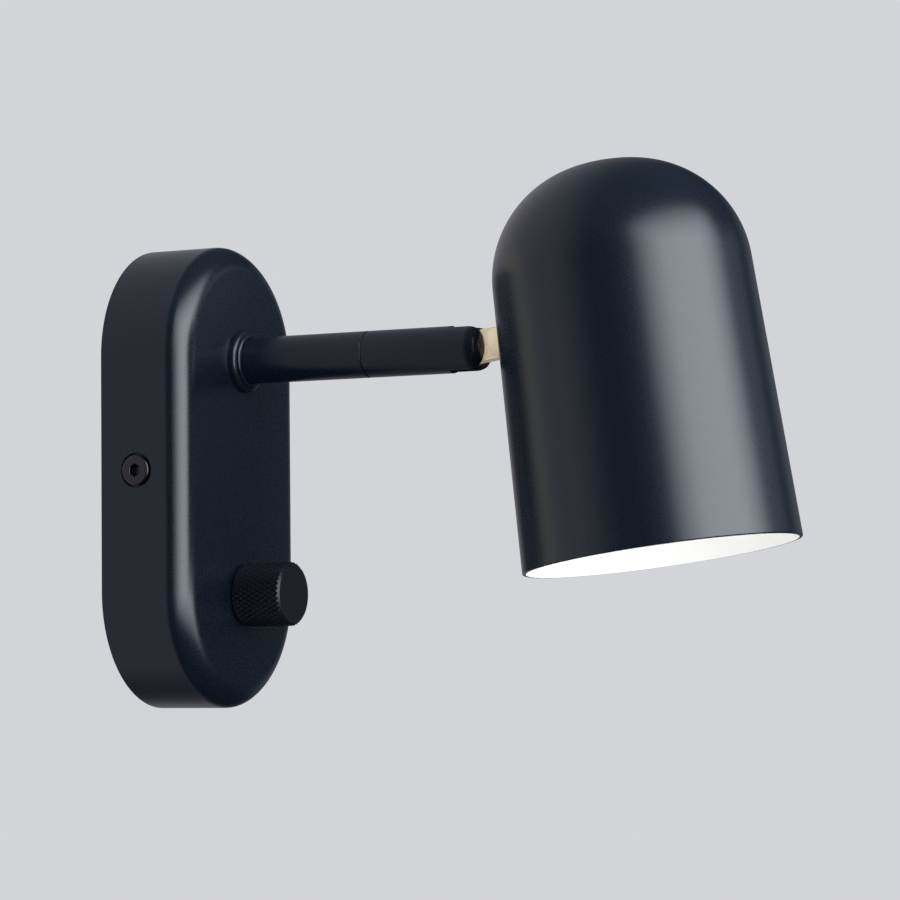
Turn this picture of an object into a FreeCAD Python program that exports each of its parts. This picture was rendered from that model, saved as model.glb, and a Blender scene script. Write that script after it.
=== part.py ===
import FreeCAD, Part
import math
import os

# Wall lamp: a stadium-shaped casing with a dimmer knob, a round arm that swivels on its own axis,
# and a domed shade that tilts in the forked end of the arm.
# Sizes are in millimetres. X is to the right and Z is up as seen from the room.
# The wall is the plane Y = 0, and "out" is a distance from the wall into the room, along -Y.
# The origin is on the wall, at the centre of the casing.

# Clearances and cuts
overrun = 5.0  # cuts run this far past the faces they open
thread_gap = 0.05  # radial gap between a screw and its tapped hole
slip_gap = 0.15  # radial gap round a screw or tube in a plain hole
running_gap = 0.04  # radial gap of a shaft that turns in its bearing
seat_gap = 0.02  # gap between a curved seat and what lies on it
touching = 0.000001  # points closer than this are one point

# Casing: a cast shell, open at the wall
casing_width = 80.0
casing_height = 160.0
casing_depth = 34.0
casing_wall = 2.5
casing_edge_radius = 10.0
casing_rim_gap = 0.5
arm_height = 40.0
knob_height = -41.0

# Side screws, one through each side of the casing
side_screw_out = 14.4
side_screw_height = 1.0
side_screw_radius = 3.0
side_screw_reach = 2.0  # past the lug
side_head_radius = 5.15
side_head_height = 2.0
side_head_edge = 0.5
side_recess_depth = 1.2
side_recess_gap = 0.6
side_hex_across = 4.0
side_hex_depth = 1.4

# Wall bracket: a pressed plate with two bent lugs for the side screws
bracket_sheet = 2.0
bracket_gap = 0.3
bend_radius = 1.0
lug_width = 16.0
lug_reach = 22.0
lug_root = 4.0
lug_relief = 1.5
wall_hole_spacing = 60.0
wall_slot_width = 4.5
wall_slot_length = 9.0

# Cable entry with its rubber grommet
cable_height = 9.0
grommet_radius = 8.0
grommet_bore_radius = 4.5
grommet_flange_radius = 10.0
grommet_flange = 1.5
grommet_edge = 0.5

# Terminal block with brass tubes and two clamping screws in each
block_height = -9.5
block_poles = 3
block_pitch = 9.0
block_length = 17.0
block_base = 4.0
tower_width = 6.4
tower_rise = 9.0
tower_edge = 1.2
tube_radius = 2.1
tube_bore_radius = 1.3
tube_length = 14.0
clamp_screw_radius = 1.3
clamp_screw_spread = 8.0
clamp_screw_length = 4.0
clamp_slot_width = 0.6
clamp_slot_depth = 0.8
block_screw_radius = 1.25
block_head_radius = 2.4
block_head_height = 1.6

# Earth screw on the bracket
earth_x = 22.0
earth_screw_radius = 2.0
earth_head_radius = 3.6
earth_head_height = 2.4
earth_washer_radius = 4.4
earth_washer = 0.8

# Hollow threaded nipple that carries the arm, with its washer and nut inside the casing
nipple_radius = 5.0
nipple_bore_radius = 3.4
nipple_inner_reach = 10.0
nipple_arm_reach = 9.0
arm_washer_radius = 8.4
arm_washer = 1.0
washer_teeth = 12
washer_tooth_depth = 0.9
arm_nut_across = 14.0
arm_nut_height = 4.0

# Collar at the foot of the arm, in two rounded steps
collar_radius = 11.0
collar_base = 2.2
collar_base_edge = 0.9
collar_step_radius = 9.6
collar_step = 1.2
collar_step_edge = 0.8
collar_socket = 1.4

# Arm: a fixed rear tube and a forked front part that swivels
arm_radius = 8.0
arm_edge = 0.3
arm_bore_radius = 6.5
arm_web = 2.5
seam_out = 83.4
seam_gap = 0.3
front_bore_radius = 3.0

# Swivel: a hollow spindle of the front arm turns in a bush in the rear tube
spindle_radius = 4.5
spindle_bore_radius = 2.5
spindle_front_reach = 11.0
bush_length = 12.0
spring_washer = 1.2
spring_washer_sheet = 0.4
swivel_nut_across = 11.0
swivel_nut_height = 3.5
spindle_tail = 1.0
stop_pin_radius = 0.5
stop_pin_circle = 5.5
stop_pin_reach = 1.8
stop_pin_depth = 3.0
stop_groove_gap = 0.12
stop_angle = 165.0
seam_washer_inner = 6.3

# Fork and hinge
pivot_out = 122.0
slot_width = 6.5
slot_floor_out = 116.0
hinge_radius = 2.5
hinge_thread_radius = 2.0
hinge_thread_end = 6.6
hinge_head_radius = 3.4
hinge_head_height = 1.5
hinge_recess_floor = 5.2
hinge_recess_gap = 0.2
hinge_hex_across = 2.5
hinge_hex_depth = 1.0
disc_spring = 0.3
hinge_washer = 0.25
hinge_washer_radius = 4.6
hinge_side_gap = 0.05

# Brass tongue between the fork and the shade
tongue_eye_radius = 5.25
tongue_flat_end = 8.4
tongue_flange_radius = 6.2
tongue_flange = 1.8
tongue_slot_width = 2.0
tongue_slot_height = 8.6
tongue_slot_end = 8.0
stud_radius = 4.0
stud_bore_radius = 2.6
stud_tail = 1.0
shade_nut_across = 13.0
shade_nut_height = 4.0
shade_washer_radius = 7.0
shade_washer = 1.0

# Shade: a spun bell with a crown, a tighter shoulder and a slightly conical skirt
shade_mouth_radius = 46.0
shade_length = 131.3
shade_wall = 1.2
shade_crown_radius = 67.5
shade_shoulder_offset = 4.69  # the centre of the shoulder's arc lies this far off the axis
shade_cone_angle = 1.91
shade_wall_reach = 14.06  # from the pivot to the shade's wall, at the height of the stud
shade_rise = 51.5  # from the pivot to the top of the shade
shade_tilt = 7.94  # the mouth leans away from the wall

# Lamp bracket inside the shade
lamp_sheet = 1.5
lamp_sheet_width = 14.0
lamp_plate_drop = 22.0
lamp_leg_below_stud = 8.0
lamp_plate_radius = 10.0
lamp_lead_hole_radius = 2.6
lamp_lead_hole_reach = 21.0  # from the axis of the shade towards the arm

# Lampholder on a threaded nipple
holder_nipple_radius = 5.0
holder_nipple_bore = 3.4
holder_nipple_up = 5.0
holder_nipple_down = 7.0
holder_nut_across = 14.0
holder_nut_height = 3.0
cap_radius = 12.0
cap_top_radius = 9.0
cap_length = 16.0
cap_edge = 1.5
holder_radius = 14.0
holder_length = 30.0
holder_wall = 2.2
holder_edge = 1.0
holder_rib_radius = 14.8
holder_rib = 3.0
holder_floor = 3.0
contact_width = 5.0
contact_sheet = 0.6
contact_rise = 2.4

# Light bulb with a 14 mm screw cap
screw_cap_radius = 6.9
screw_cap_length = 17.0
bulb_insulator_radius = 5.2
bulb_insulator = 2.5
bulb_tip_radius = 2.4
bulb_tip = 1.0
bulb_neck_length = 14.0
bulb_neck_radius = 10.0
bulb_rim_radius = 15.0
globe_radius = 22.5
globe_wall = 1.0

# Knob and dimmer
knob_radius = 11.0
knob_front_out = 52.9
knob_gap = 0.5
knob_front_chamfer = 0.9
knob_rear_chamfer = 0.5
knob_recess_radius = 9.2
knob_recess_depth = 5.2
knob_face = 2.3
dimmer_width = 30.0
dimmer_depth = 17.0
dimmer_corner = 3.0
dimmer_bush_radius = 5.0
dimmer_bush_flange_radius = 7.0
dimmer_bush_flange = 1.2
dimmer_bush_rise = 4.6
dimmer_washer_radius = 8.2
dimmer_washer = 0.6
dimmer_nut_across = 14.0
dimmer_nut_height = 2.0
dimmer_spindle_radius = 3.0
dimmer_spindle_flat = 2.0
dimmer_spindle_tail = 8.0
dimmer_spindle_end_gap = 0.6
dimmer_lamp_entry_x = 4.5
dimmer_entry_depth = 4.0
grub_radius = 1.5
grub_length = 6.0
grub_hex_across = 1.5
grub_hex_depth = 2.0

# Insulated leads
lead_radius = 0.8
lead_spread = 0.95  # half the distance between a pair of leads
lead_bend = 4.0
lead_split_gap = 3.0
lead_insertion = 2.0
lead_pin_height = 3.4
lead_arch_rise = 7.0

# Places that follow from the sizes above
casing_inside_out = casing_depth - casing_wall
side_x = casing_width / 2
lug_outer_x = side_x - casing_wall - bracket_gap
lug_inner_x = lug_outer_x - bracket_sheet
side_head_floor_x = side_x - side_recess_depth
rear_arm_start = casing_depth + collar_base + collar_step - collar_socket
nipple_end = rear_arm_start + nipple_arm_reach
rear_arm_end = seam_out - seam_gap / 2
front_arm_start = seam_out + seam_gap / 2
bush_start = rear_arm_end - bush_length
swivel_nut_end = bush_start - spring_washer
spindle_start = swivel_nut_end - swivel_nut_height - spindle_tail
spindle_end = front_arm_start + spindle_front_reach
lead_split_out = spindle_start - lead_split_gap
tongue_thickness = slot_width - 2 * (hinge_washer + hinge_side_gap)
dimmer_start = casing_inside_out - dimmer_depth
knob_start = casing_depth + knob_gap
grub_out = (knob_start + knob_recess_depth + knob_front_out - knob_face) / 2
apex_height = arm_height + shade_rise
shade_slope = math.radians(shade_cone_angle)
shade_radius_at_stud = shade_mouth_radius - (shade_length - shade_rise) * math.tan(shade_slope)
shade_axis_out = pivot_out + shade_wall_reach + shade_radius_at_stud
plate_bottom_drop = lamp_plate_drop + lamp_sheet
cap_end_drop = plate_bottom_drop + cap_length
holder_end_drop = cap_end_drop + holder_length
bulb_floor_drop = cap_end_drop + holder_floor + contact_sheet + contact_rise
screw_cap_drop = bulb_floor_drop + bulb_tip + bulb_insulator
neck_drop = screw_cap_drop + screw_cap_length
bulb_rim_drop = neck_drop + bulb_neck_length
globe_overlap = math.sqrt(globe_radius ** 2 - bulb_rim_radius ** 2)
globe_centre_drop = bulb_rim_drop + globe_overlap

ROOM = FreeCAD.Vector(0, -1, 0)
RIGHT = FreeCAD.Vector(1, 0, 0)
UP = FreeCAD.Vector(0, 0, 1)


def place(x, out, height):
    """A point from its distance to the right, into the room and up."""
    return FreeCAD.Vector(x, -out, height)


def bar(x, out, height, direction, length, radius):
    """A round bar from a point along a direction."""
    return Part.makeCylinder(radius, length, place(x, out, height), direction)


def hole(x, out, height, direction, length, radius):
    """A round cutter for a hole of a length, which runs past both of its ends."""
    start = place(x, out, height) - direction * overrun
    return Part.makeCylinder(radius, length + 2 * overrun, start, direction)


def block(x_range, out_range, height_range):
    """A rectangular block between two x, two out and two height limits."""
    low = place(x_range[0], out_range[1], height_range[0])
    width = x_range[1] - x_range[0]
    depth = out_range[1] - out_range[0]
    rise = height_range[1] - height_range[0]
    return Part.makeBox(width, depth, rise, low)


def hexagon(x, out, height, direction, length, across):
    """A hexagonal prism from a point along a direction, with two corners up and down."""
    corner_radius = across / math.sqrt(3)
    sides = 6
    side_way = direction.cross(UP)
    centre = place(x, out, height)
    corners = []
    for index in range(sides):
        angle = 2 * math.pi * index / sides
        rise = UP * (corner_radius * math.cos(angle))
        corners.append(centre + rise + side_way * (corner_radius * math.sin(angle)))
    corners.append(corners[0])
    return Part.Face(Part.makePolygon(corners)).extrude(direction * length)


def outline(at, corners):
    """A flat face through corners (u, v) or (u, v, radius), where a radius rounds its corner."""
    flat = [FreeCAD.Vector(corner[0], corner[1], 0) for corner in corners]
    stretches = []
    for index, corner in enumerate(corners):
        point = flat[index]
        radius = corner[2] if len(corner) == 3 else 0
        if radius == 0:
            stretches.append((point, None, point))
            continue
        back = (flat[index - 1] - point).normalize()
        ahead = (flat[(index + 1) % len(flat)] - point).normalize()
        half = back.getAngle(ahead) / 2
        reach = radius / math.tan(half)
        middle = (back + ahead).normalize() * (radius / math.sin(half) - radius)
        stretches.append((point + back * reach, point + middle, point + ahead * reach))
    edges = []
    for index, (start, through, end) in enumerate(stretches):
        following = stretches[(index + 1) % len(stretches)][0]
        if through is not None:
            arc = Part.Arc(at(start.x, start.y), at(through.x, through.y), at(end.x, end.y))
            edges.append(arc.toShape())
        if not end.isEqual(following, touching):
            edges.append(Part.LineSegment(at(end.x, end.y), at(following.x, following.y)).toShape())
    return Part.Face(Part.Wire(edges))


def turned(height, corners):
    """A piece turned about a horizontal axis at a height, from corners (radius, out)."""
    face = outline(lambda radius, out: place(0, out, height + radius), corners)
    return face.revolve(place(0, 0, height), ROOM, 360)


def turned_across(out, height, corners):
    """A piece turned about an axis along X at a place, from corners (radius, x)."""
    face = outline(lambda radius, x: place(x, out, height + radius), corners)
    return face.revolve(place(0, out, height), RIGHT, 360)


def turned_in_shade(corners):
    """A piece turned about the upright axis of the shade, from corners (radius, drop below its top)."""
    face = outline(lambda radius, drop: place(radius, shade_axis_out, apex_height - drop), corners)
    return face.revolve(place(0, shade_axis_out, 0), UP, 360)


def ring(height, start, end, inner, outer):
    """A flat ring on a horizontal axis."""
    return turned(height, [(inner, start), (outer, start), (outer, end), (inner, end)])


def tilted(shape):
    """Turn a piece of the head about the hinge, from the upright shade to the tilt at rest."""
    return shape.rotated(place(0, pivot_out, arm_height), RIGHT, -shade_tilt)


def mirrored(shape):
    """The same piece on the other side of the middle plane."""
    return shape.mirror(place(0, 0, 0), RIGHT)


def stadium(width, height, start, end):
    """An upright plate with round ends, centred on the origin, between two distances out."""
    radius = width / 2
    straight = height / 2 - radius
    left_low = place(-radius, start, -straight)
    left_high = place(-radius, start, straight)
    right_low = place(radius, start, -straight)
    right_high = place(radius, start, straight)
    edges = [
        Part.LineSegment(left_low, left_high).toShape(),
        Part.Arc(left_high, place(0, start, height / 2), right_high).toShape(),
        Part.LineSegment(right_high, right_low).toShape(),
        Part.Arc(right_low, place(0, start, -height / 2), left_low).toShape(),
    ]
    return Part.Face(Part.Wire(edges)).extrude(ROOM * (end - start))


def domed_stadium(width, height, start, end, edge_radius):
    """A stadium whose edge on the room side is rounded."""
    plate = stadium(width, height, start, end)
    front = [edge for edge in plate.Edges if all(-vertex.Y > (start + end) / 2 for vertex in edge.Vertexes)]
    return plate.makeFillet(edge_radius, front)


def lead(points, radius=lead_radius):
    """An insulated lead through points, with its bends rounded as far as the runs allow."""
    edges = []
    here = points[0]
    for before, corner, after in zip(points, points[1:], points[2:]):
        back = (before - corner).normalize()
        ahead = (after - corner).normalize()
        half = back.getAngle(ahead) / 2
        reach = lead_bend / math.tan(half)
        start = corner + back * reach
        end = corner + ahead * reach
        middle = (back + ahead).normalize() * (lead_bend / math.sin(half) - lead_bend)
        edges.append(Part.LineSegment(here, start).toShape())
        edges.append(Part.Arc(start, corner + middle, end).toShape())
        here = end
    edges.append(Part.LineSegment(here, points[-1]).toShape())
    path = Part.Wire(edges)
    circle = Part.Circle(points[0], points[1] - points[0], radius).toShape()
    return path.makePipeShell([Part.Wire(circle)], True, False)


# Casing and what fixes it to the wall

def make_casing():
    """Cast shell with a rounded front edge, recessed side screws and holes for the arm and the dimmer."""
    outside = domed_stadium(casing_width, casing_height, casing_rim_gap, casing_depth, casing_edge_radius)
    inside = domed_stadium(casing_width - 2 * casing_wall, casing_height - 2 * casing_wall,
                           casing_rim_gap - overrun, casing_inside_out, casing_edge_radius - casing_wall)
    shell = outside.cut(inside)
    side_hole = hole(side_x - casing_wall, side_screw_out, side_screw_height, RIGHT, casing_wall,
                     side_screw_radius + slip_gap)
    recess = bar(side_head_floor_x, side_screw_out, side_screw_height, RIGHT, side_recess_depth + overrun,
                 side_head_radius + side_recess_gap)
    return shell.cut([
        hole(0, casing_inside_out, arm_height, ROOM, casing_wall, nipple_radius + slip_gap),
        hole(0, casing_inside_out, knob_height, ROOM, casing_wall, dimmer_bush_radius + slip_gap),
        side_hole,
        recess,
        mirrored(side_hole),
        mirrored(recess),
    ])


def make_side_screw():
    """Low-head screw with a hexagonal socket, seen on the side of the casing."""
    tip_x = lug_inner_x - side_screw_reach
    head_x = side_head_floor_x + side_head_height
    screw = turned_across(side_screw_out, side_screw_height, [
        (0, tip_x),
        (side_screw_radius, tip_x),
        (side_screw_radius, side_head_floor_x),
        (side_head_radius, side_head_floor_x),
        (side_head_radius, head_x, side_head_edge),
        (0, head_x),
    ])
    socket = hexagon(head_x - side_hex_depth, side_screw_out, side_screw_height, RIGHT,
                     side_hex_depth + overrun, side_hex_across)
    return screw.cut(socket)


def make_side_screws():
    right = make_side_screw()
    return Part.makeCompound([right, mirrored(right)])


def make_lug():
    """One bent lug of the bracket, tapped for a side screw."""
    root_x = lug_inner_x - lug_root
    face = outline(lambda x, out: place(x, out, side_screw_height - lug_width / 2), [
        (root_x, 0),
        (lug_outer_x, 0, bend_radius + bracket_sheet),
        (lug_outer_x, lug_reach),
        (lug_inner_x, lug_reach),
        (lug_inner_x, bracket_sheet, bend_radius),
        (root_x, bracket_sheet),
    ])
    lug = face.extrude(UP * lug_width)
    tapping = hole(lug_inner_x, side_screw_out, side_screw_height, RIGHT, bracket_sheet,
                   side_screw_radius + thread_gap)
    return lug.cut(tapping)


def make_wall_slot(height):
    """A vertical slot for one wall screw."""
    radius = wall_slot_width / 2
    half = wall_slot_length / 2 - radius
    middle = block((-radius, radius), (-overrun, bracket_sheet + overrun), (height - half, height + half))
    ends = [hole(0, 0, height + side * half, ROOM, bracket_sheet, radius) for side in (-1, 1)]
    return middle.fuse(ends)


def make_wall_bracket():
    """Pressed steel plate against the wall, with bent side lugs, wall slots and tapped holes."""
    width = 2 * lug_outer_x
    height = casing_height - 2 * (casing_wall + bracket_gap)
    plate = stadium(width, height, 0, bracket_sheet)
    half_notch = lug_width / 2 + lug_relief
    notch = block((lug_inner_x - lug_root, lug_outer_x + overrun), (-overrun, bracket_sheet + overrun),
                  (side_screw_height - half_notch, side_screw_height + half_notch))
    plate = plate.cut([notch, mirrored(notch)])
    lug = make_lug()
    plate = plate.fuse([lug, mirrored(lug)])
    return plate.cut([
        make_wall_slot(wall_hole_spacing / 2),
        make_wall_slot(-wall_hole_spacing / 2),
        hole(0, 0, cable_height, ROOM, bracket_sheet, grommet_radius + slip_gap),
        hole(earth_x, 0, cable_height, ROOM, bracket_sheet, earth_screw_radius + thread_gap),
        hole(block_pitch / 2, 0, block_height, ROOM, bracket_sheet, block_screw_radius + thread_gap),
    ]).removeSplitter()


def make_cable_grommet():
    """Rubber bush that keeps the supply cable off the edge of the plate."""
    front = bracket_sheet + grommet_flange
    return turned(cable_height, [
        (grommet_bore_radius, 0),
        (grommet_radius, 0),
        (grommet_radius, bracket_sheet),
        (grommet_flange_radius, bracket_sheet),
        (grommet_flange_radius, front, grommet_edge),
        (grommet_bore_radius, front, grommet_edge),
    ])


# Terminal block and earth

def pole_places():
    """The x of each pole, centred on the block."""
    first = -block_pitch * (block_poles - 1) / 2
    return [first + block_pitch * index for index in range(block_poles)]


def tube_out():
    """How far out the brass tubes lie."""
    return bracket_sheet + block_base + tube_radius + slip_gap


def make_terminal_block():
    """Moulded strip: a base with a rounded tower over each brass tube."""
    low = block_height - block_length / 2
    half_width = block_pitch * block_poles / 2
    base = block((-half_width, half_width), (bracket_sheet, bracket_sheet + block_base),
                 (low, low + block_length))
    top = bracket_sheet + block_base + tower_rise
    towers = []
    cuts = [
        hole(block_pitch / 2, bracket_sheet, block_height, ROOM, block_base, block_screw_radius + slip_gap),
        bar(block_pitch / 2, bracket_sheet + block_base, block_height, ROOM, tower_rise + overrun,
            block_head_radius + slip_gap),
    ]
    for x in pole_places():
        tower = outline(lambda u, out: place(u, out, low), [
            (x - tower_width / 2, bracket_sheet + block_base / 2),
            (x + tower_width / 2, bracket_sheet + block_base / 2),
            (x + tower_width / 2, top, tower_edge),
            (x - tower_width / 2, top, tower_edge),
        ])
        towers.append(tower.extrude(UP * block_length))
        cuts.append(hole(x, tube_out(), low, UP, block_length, tube_radius + slip_gap))
        for side in (-1, 1):
            cuts.append(bar(x, tube_out(), block_height + side * clamp_screw_spread / 2, ROOM,
                            tower_rise + overrun, clamp_screw_radius + slip_gap))
    return base.fuse(towers).cut(cuts).removeSplitter()


def make_terminal_tubes():
    """Brass tubes that join the supply to the lamp, drilled for their clamping screws."""
    tubes = []
    for x in pole_places():
        low = block_height - tube_length / 2
        tube = bar(x, tube_out(), low, UP, tube_length, tube_radius)
        cuts = [hole(x, tube_out(), low, UP, tube_length, tube_bore_radius)]
        for side in (-1, 1):
            cuts.append(bar(x, tube_out(), block_height + side * clamp_screw_spread / 2, ROOM, overrun,
                            clamp_screw_radius + thread_gap))
        tubes.append(tube.cut(cuts))
    return Part.makeCompound(tubes)


def make_terminal_screws():
    """Slotted clamping screws, two on each pole."""
    screws = []
    start = tube_out() + tube_bore_radius
    end = start + clamp_screw_length
    for x in pole_places():
        for side in (-1, 1):
            height = block_height + side * clamp_screw_spread / 2
            screw = bar(x, start, height, ROOM, clamp_screw_length, clamp_screw_radius)
            slot = block((x - overrun, x + overrun), (end - clamp_slot_depth, end + overrun),
                         (height - clamp_slot_width / 2, height + clamp_slot_width / 2))
            screws.append(screw.cut(slot))
    return Part.makeCompound(screws)


def make_block_screw():
    """Screw that holds the terminal block on the plate, between two towers."""
    seat = bracket_sheet + block_base
    return turned(block_height, [
        (0, seat_gap),
        (block_screw_radius, seat_gap),
        (block_screw_radius, seat),
        (block_head_radius, seat),
        (block_head_radius, seat + block_head_height, block_head_height / 2),
        (0, seat + block_head_height),
    ]).translated(RIGHT * (block_pitch / 2))


def make_earth_screw():
    """Earth screw tapped into the plate."""
    seat = bracket_sheet + earth_washer
    top = seat + earth_head_height
    screw = turned(cable_height, [
        (0, seat_gap),
        (earth_screw_radius, seat_gap),
        (earth_screw_radius, seat),
        (earth_head_radius, seat),
        (earth_head_radius, top, earth_head_height / 2),
        (0, top),
    ])
    arm = earth_head_radius - earth_head_height / 2
    half = clamp_slot_width / 2
    depth = (top - earth_head_height / 2, top + overrun)
    across = block((-arm, arm), depth, (cable_height - half, cable_height + half))
    upright = block((-half, half), depth, (cable_height - arm, cable_height + arm))
    return screw.cut([across, upright]).translated(RIGHT * earth_x)


def make_earth_washer():
    return ring(cable_height, bracket_sheet, bracket_sheet + earth_washer, earth_screw_radius + slip_gap,
                earth_washer_radius).translated(RIGHT * earth_x)


# Foot of the arm

def make_arm_nipple():
    """Hollow threaded tube through the casing, which the arm screws on to."""
    start = casing_inside_out - nipple_inner_reach
    return ring(arm_height, start, nipple_end, nipple_bore_radius, nipple_radius)


def make_lock_washer(height, start, thickness, inner, outer):
    """Toothed lock washer, with square teeth cut round its edge."""
    washer = ring(height, start, start + thickness, inner, outer)
    cuts = []
    step = 360 / washer_teeth
    half = math.pi * outer / washer_teeth / 2
    for index in range(washer_teeth):
        notch = block((-half, half), (start - overrun, start + thickness + overrun),
                      (height + outer - washer_tooth_depth, height + outer + overrun))
        cuts.append(notch.rotated(place(0, 0, height), ROOM, step * index))
    return washer.cut(cuts)


def make_arm_washer():
    return make_lock_washer(arm_height, casing_inside_out - arm_washer, arm_washer,
                            nipple_radius + slip_gap, arm_washer_radius)


def make_hex_nut(height, start, thickness, bore, across):
    """A plain hexagon nut on a horizontal axis, with its corners turned off at the outer face."""
    corner = across / math.sqrt(3)
    nut = hexagon(0, start, height, ROOM, thickness, across)
    chamfer = corner - across / 2
    turned_off = turned(height, [
        (0, start),
        (across / 2, start),
        (corner, start + chamfer),
        (corner, start + thickness),
        (0, start + thickness),
    ])
    return nut.common(turned_off).cut(hole(0, start, height, ROOM, thickness, bore))


def make_arm_nut():
    start = casing_inside_out - arm_washer - arm_nut_height
    return make_hex_nut(arm_height, start, arm_nut_height, nipple_radius + thread_gap, arm_nut_across)


def make_arm_collar():
    """Two-step ring on the casing, with a socket for the end of the arm."""
    step = casing_depth + collar_base
    front = step + collar_step
    return turned(arm_height, [
        (nipple_radius + slip_gap, casing_depth),
        (collar_radius, casing_depth),
        (collar_radius, step, collar_base_edge),
        (collar_step_radius, step),
        (collar_step_radius, front, collar_step_edge),
        (arm_radius + slip_gap, front),
        (arm_radius + slip_gap, rear_arm_start),
        (nipple_radius + slip_gap, rear_arm_start),
    ])


def make_rear_arm():
    """Fixed tube, tapped for the nipple at its foot and bored for the swivel bush at its front."""
    tapped_end = nipple_end + thread_gap
    tapped_radius = nipple_radius + thread_gap
    web_end = tapped_end + arm_web
    return turned(arm_height, [
        (tapped_radius, rear_arm_start),
        (arm_radius, rear_arm_start, arm_edge),
        (arm_radius, rear_arm_end, arm_edge),
        (arm_bore_radius, rear_arm_end),
        (arm_bore_radius, web_end),
        (nipple_bore_radius, web_end),
        (nipple_bore_radius, tapped_end),
        (tapped_radius, tapped_end),
    ])


# Swivel

def make_swivel_bush():
    """Brass bush pressed into the rear tube, with the groove that the stop pin runs in."""
    bush = ring(arm_height, bush_start, rear_arm_end, spindle_radius + running_gap,
                arm_bore_radius - seat_gap)
    wide = stop_pin_radius + stop_groove_gap
    groove = ring(arm_height, rear_arm_end - stop_pin_reach - stop_groove_gap, rear_arm_end + overrun,
                  stop_pin_circle - wide, stop_pin_circle + wide)
    pin_angle = math.degrees(math.asin(wide / stop_pin_circle))
    half_angle = 180 - stop_angle - pin_angle
    reach = arm_radius * math.tan(math.radians(half_angle))
    wedge = Part.Face(Part.makePolygon([
        place(0, bush_start, arm_height),
        place(-reach, bush_start, arm_height - arm_radius),
        place(reach, bush_start, arm_height - arm_radius),
        place(0, bush_start, arm_height),
    ])).extrude(ROOM * (bush_length + overrun))
    return bush.cut(groove.cut(wedge)).removeSplitter()


def make_stop_pin():
    """Pin in the front arm that ends the swivel at each limit."""
    start = rear_arm_end - stop_pin_reach
    end = front_arm_start + stop_pin_depth
    return bar(0, start, arm_height + stop_pin_circle, ROOM, end - start, stop_pin_radius)


def make_seam_washer():
    """Thin friction washer in the seam between the two parts of the arm."""
    return ring(arm_height, rear_arm_end, front_arm_start, seam_washer_inner, arm_radius - arm_edge)


def make_swivel_spindle():
    """Hollow spindle screwed into the front arm, which turns in the bush."""
    return ring(arm_height, spindle_start, spindle_end, spindle_bore_radius, spindle_radius)


def make_spring_washer():
    """Conical spring washer that loads the swivel."""
    inner = spindle_radius + slip_gap
    outer = arm_bore_radius - 2 * slip_gap
    return turned(arm_height, [
        (inner, bush_start - spring_washer),
        (inner, bush_start - spring_washer + spring_washer_sheet),
        (outer, bush_start),
        (outer, bush_start - spring_washer_sheet),
    ])


def make_swivel_nut():
    """Nut on the tail of the spindle, behind the spring washer."""
    start = swivel_nut_end - swivel_nut_height
    return make_hex_nut(arm_height, start, swivel_nut_height, spindle_radius + thread_gap,
                        swivel_nut_across)


# Fork and hinge

def make_front_arm():
    """Front part of the arm: a bored bar with a domed nose, slotted into a fork and drilled across."""
    tapped_end = spindle_end + thread_gap
    tapped_radius = spindle_radius + thread_gap
    nose_edge = arm_radius / math.sqrt(2)
    at = lambda radius, out: place(0, out, arm_height + radius)
    sides = [
        (0, front_arm_start),
        (arm_radius - arm_edge, front_arm_start),
        (arm_radius, front_arm_start + arm_edge),
        (arm_radius, pivot_out),
    ]
    edges = [Part.LineSegment(at(*start), at(*end)).toShape() for start, end in zip(sides, sides[1:])]
    tip = (0, pivot_out + arm_radius)
    edges.append(Part.Arc(at(*sides[-1]), at(nose_edge, pivot_out + nose_edge), at(*tip)).toShape())
    edges.append(Part.LineSegment(at(*tip), at(*sides[0])).toShape())
    body = Part.Face(Part.Wire(edges)).revolve(place(0, 0, arm_height), ROOM, 360)
    half = slot_width / 2
    tall = arm_radius + overrun
    behind = front_arm_start - overrun
    cuts = [
        block((-half, half), (slot_floor_out, pivot_out + tall), (arm_height - tall, arm_height + tall)),
        bar(0, behind, arm_height, ROOM, tapped_end - behind, tapped_radius),
        hole(0, front_arm_start, arm_height, ROOM, slot_floor_out - front_arm_start, front_bore_radius),
        bar(0, behind, arm_height + stop_pin_circle, ROOM, stop_pin_depth + overrun,
            stop_pin_radius + seat_gap),
        bar(0, pivot_out, arm_height, RIGHT, arm_radius + overrun, hinge_radius + thread_gap),
        bar(hinge_recess_floor, pivot_out, arm_height, RIGHT, arm_radius + overrun,
            hinge_head_radius + hinge_recess_gap),
        bar(0, pivot_out, arm_height, -RIGHT, hinge_thread_end + slip_gap,
            hinge_thread_radius + thread_gap),
    ]
    return body.cut(cuts)


def make_hinge_screw():
    """Shoulder screw of the hinge, from the side away from the blind ear."""
    seat = hinge_recess_floor + disc_spring
    top = seat + hinge_head_height
    shoulder = -slot_width / 2
    screw = turned_across(pivot_out, arm_height, [
        (0, -hinge_thread_end),
        (hinge_thread_radius, -hinge_thread_end),
        (hinge_thread_radius, shoulder),
        (hinge_radius, shoulder),
        (hinge_radius, seat),
        (hinge_head_radius, seat),
        (hinge_head_radius, top, arm_edge),
        (0, top),
    ])
    socket = hexagon(top - hinge_hex_depth, pivot_out, arm_height, RIGHT, hinge_hex_depth + overrun,
                     hinge_hex_across)
    return screw.cut(socket)


def make_disc_spring():
    """Spring under the head of the hinge screw, which keeps the tilt stiff."""
    inner = hinge_radius + slip_gap
    return turned_across(pivot_out, arm_height, [
        (inner, hinge_recess_floor),
        (hinge_head_radius, hinge_recess_floor),
        (hinge_head_radius, hinge_recess_floor + disc_spring),
        (inner, hinge_recess_floor + disc_spring),
    ])


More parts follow.
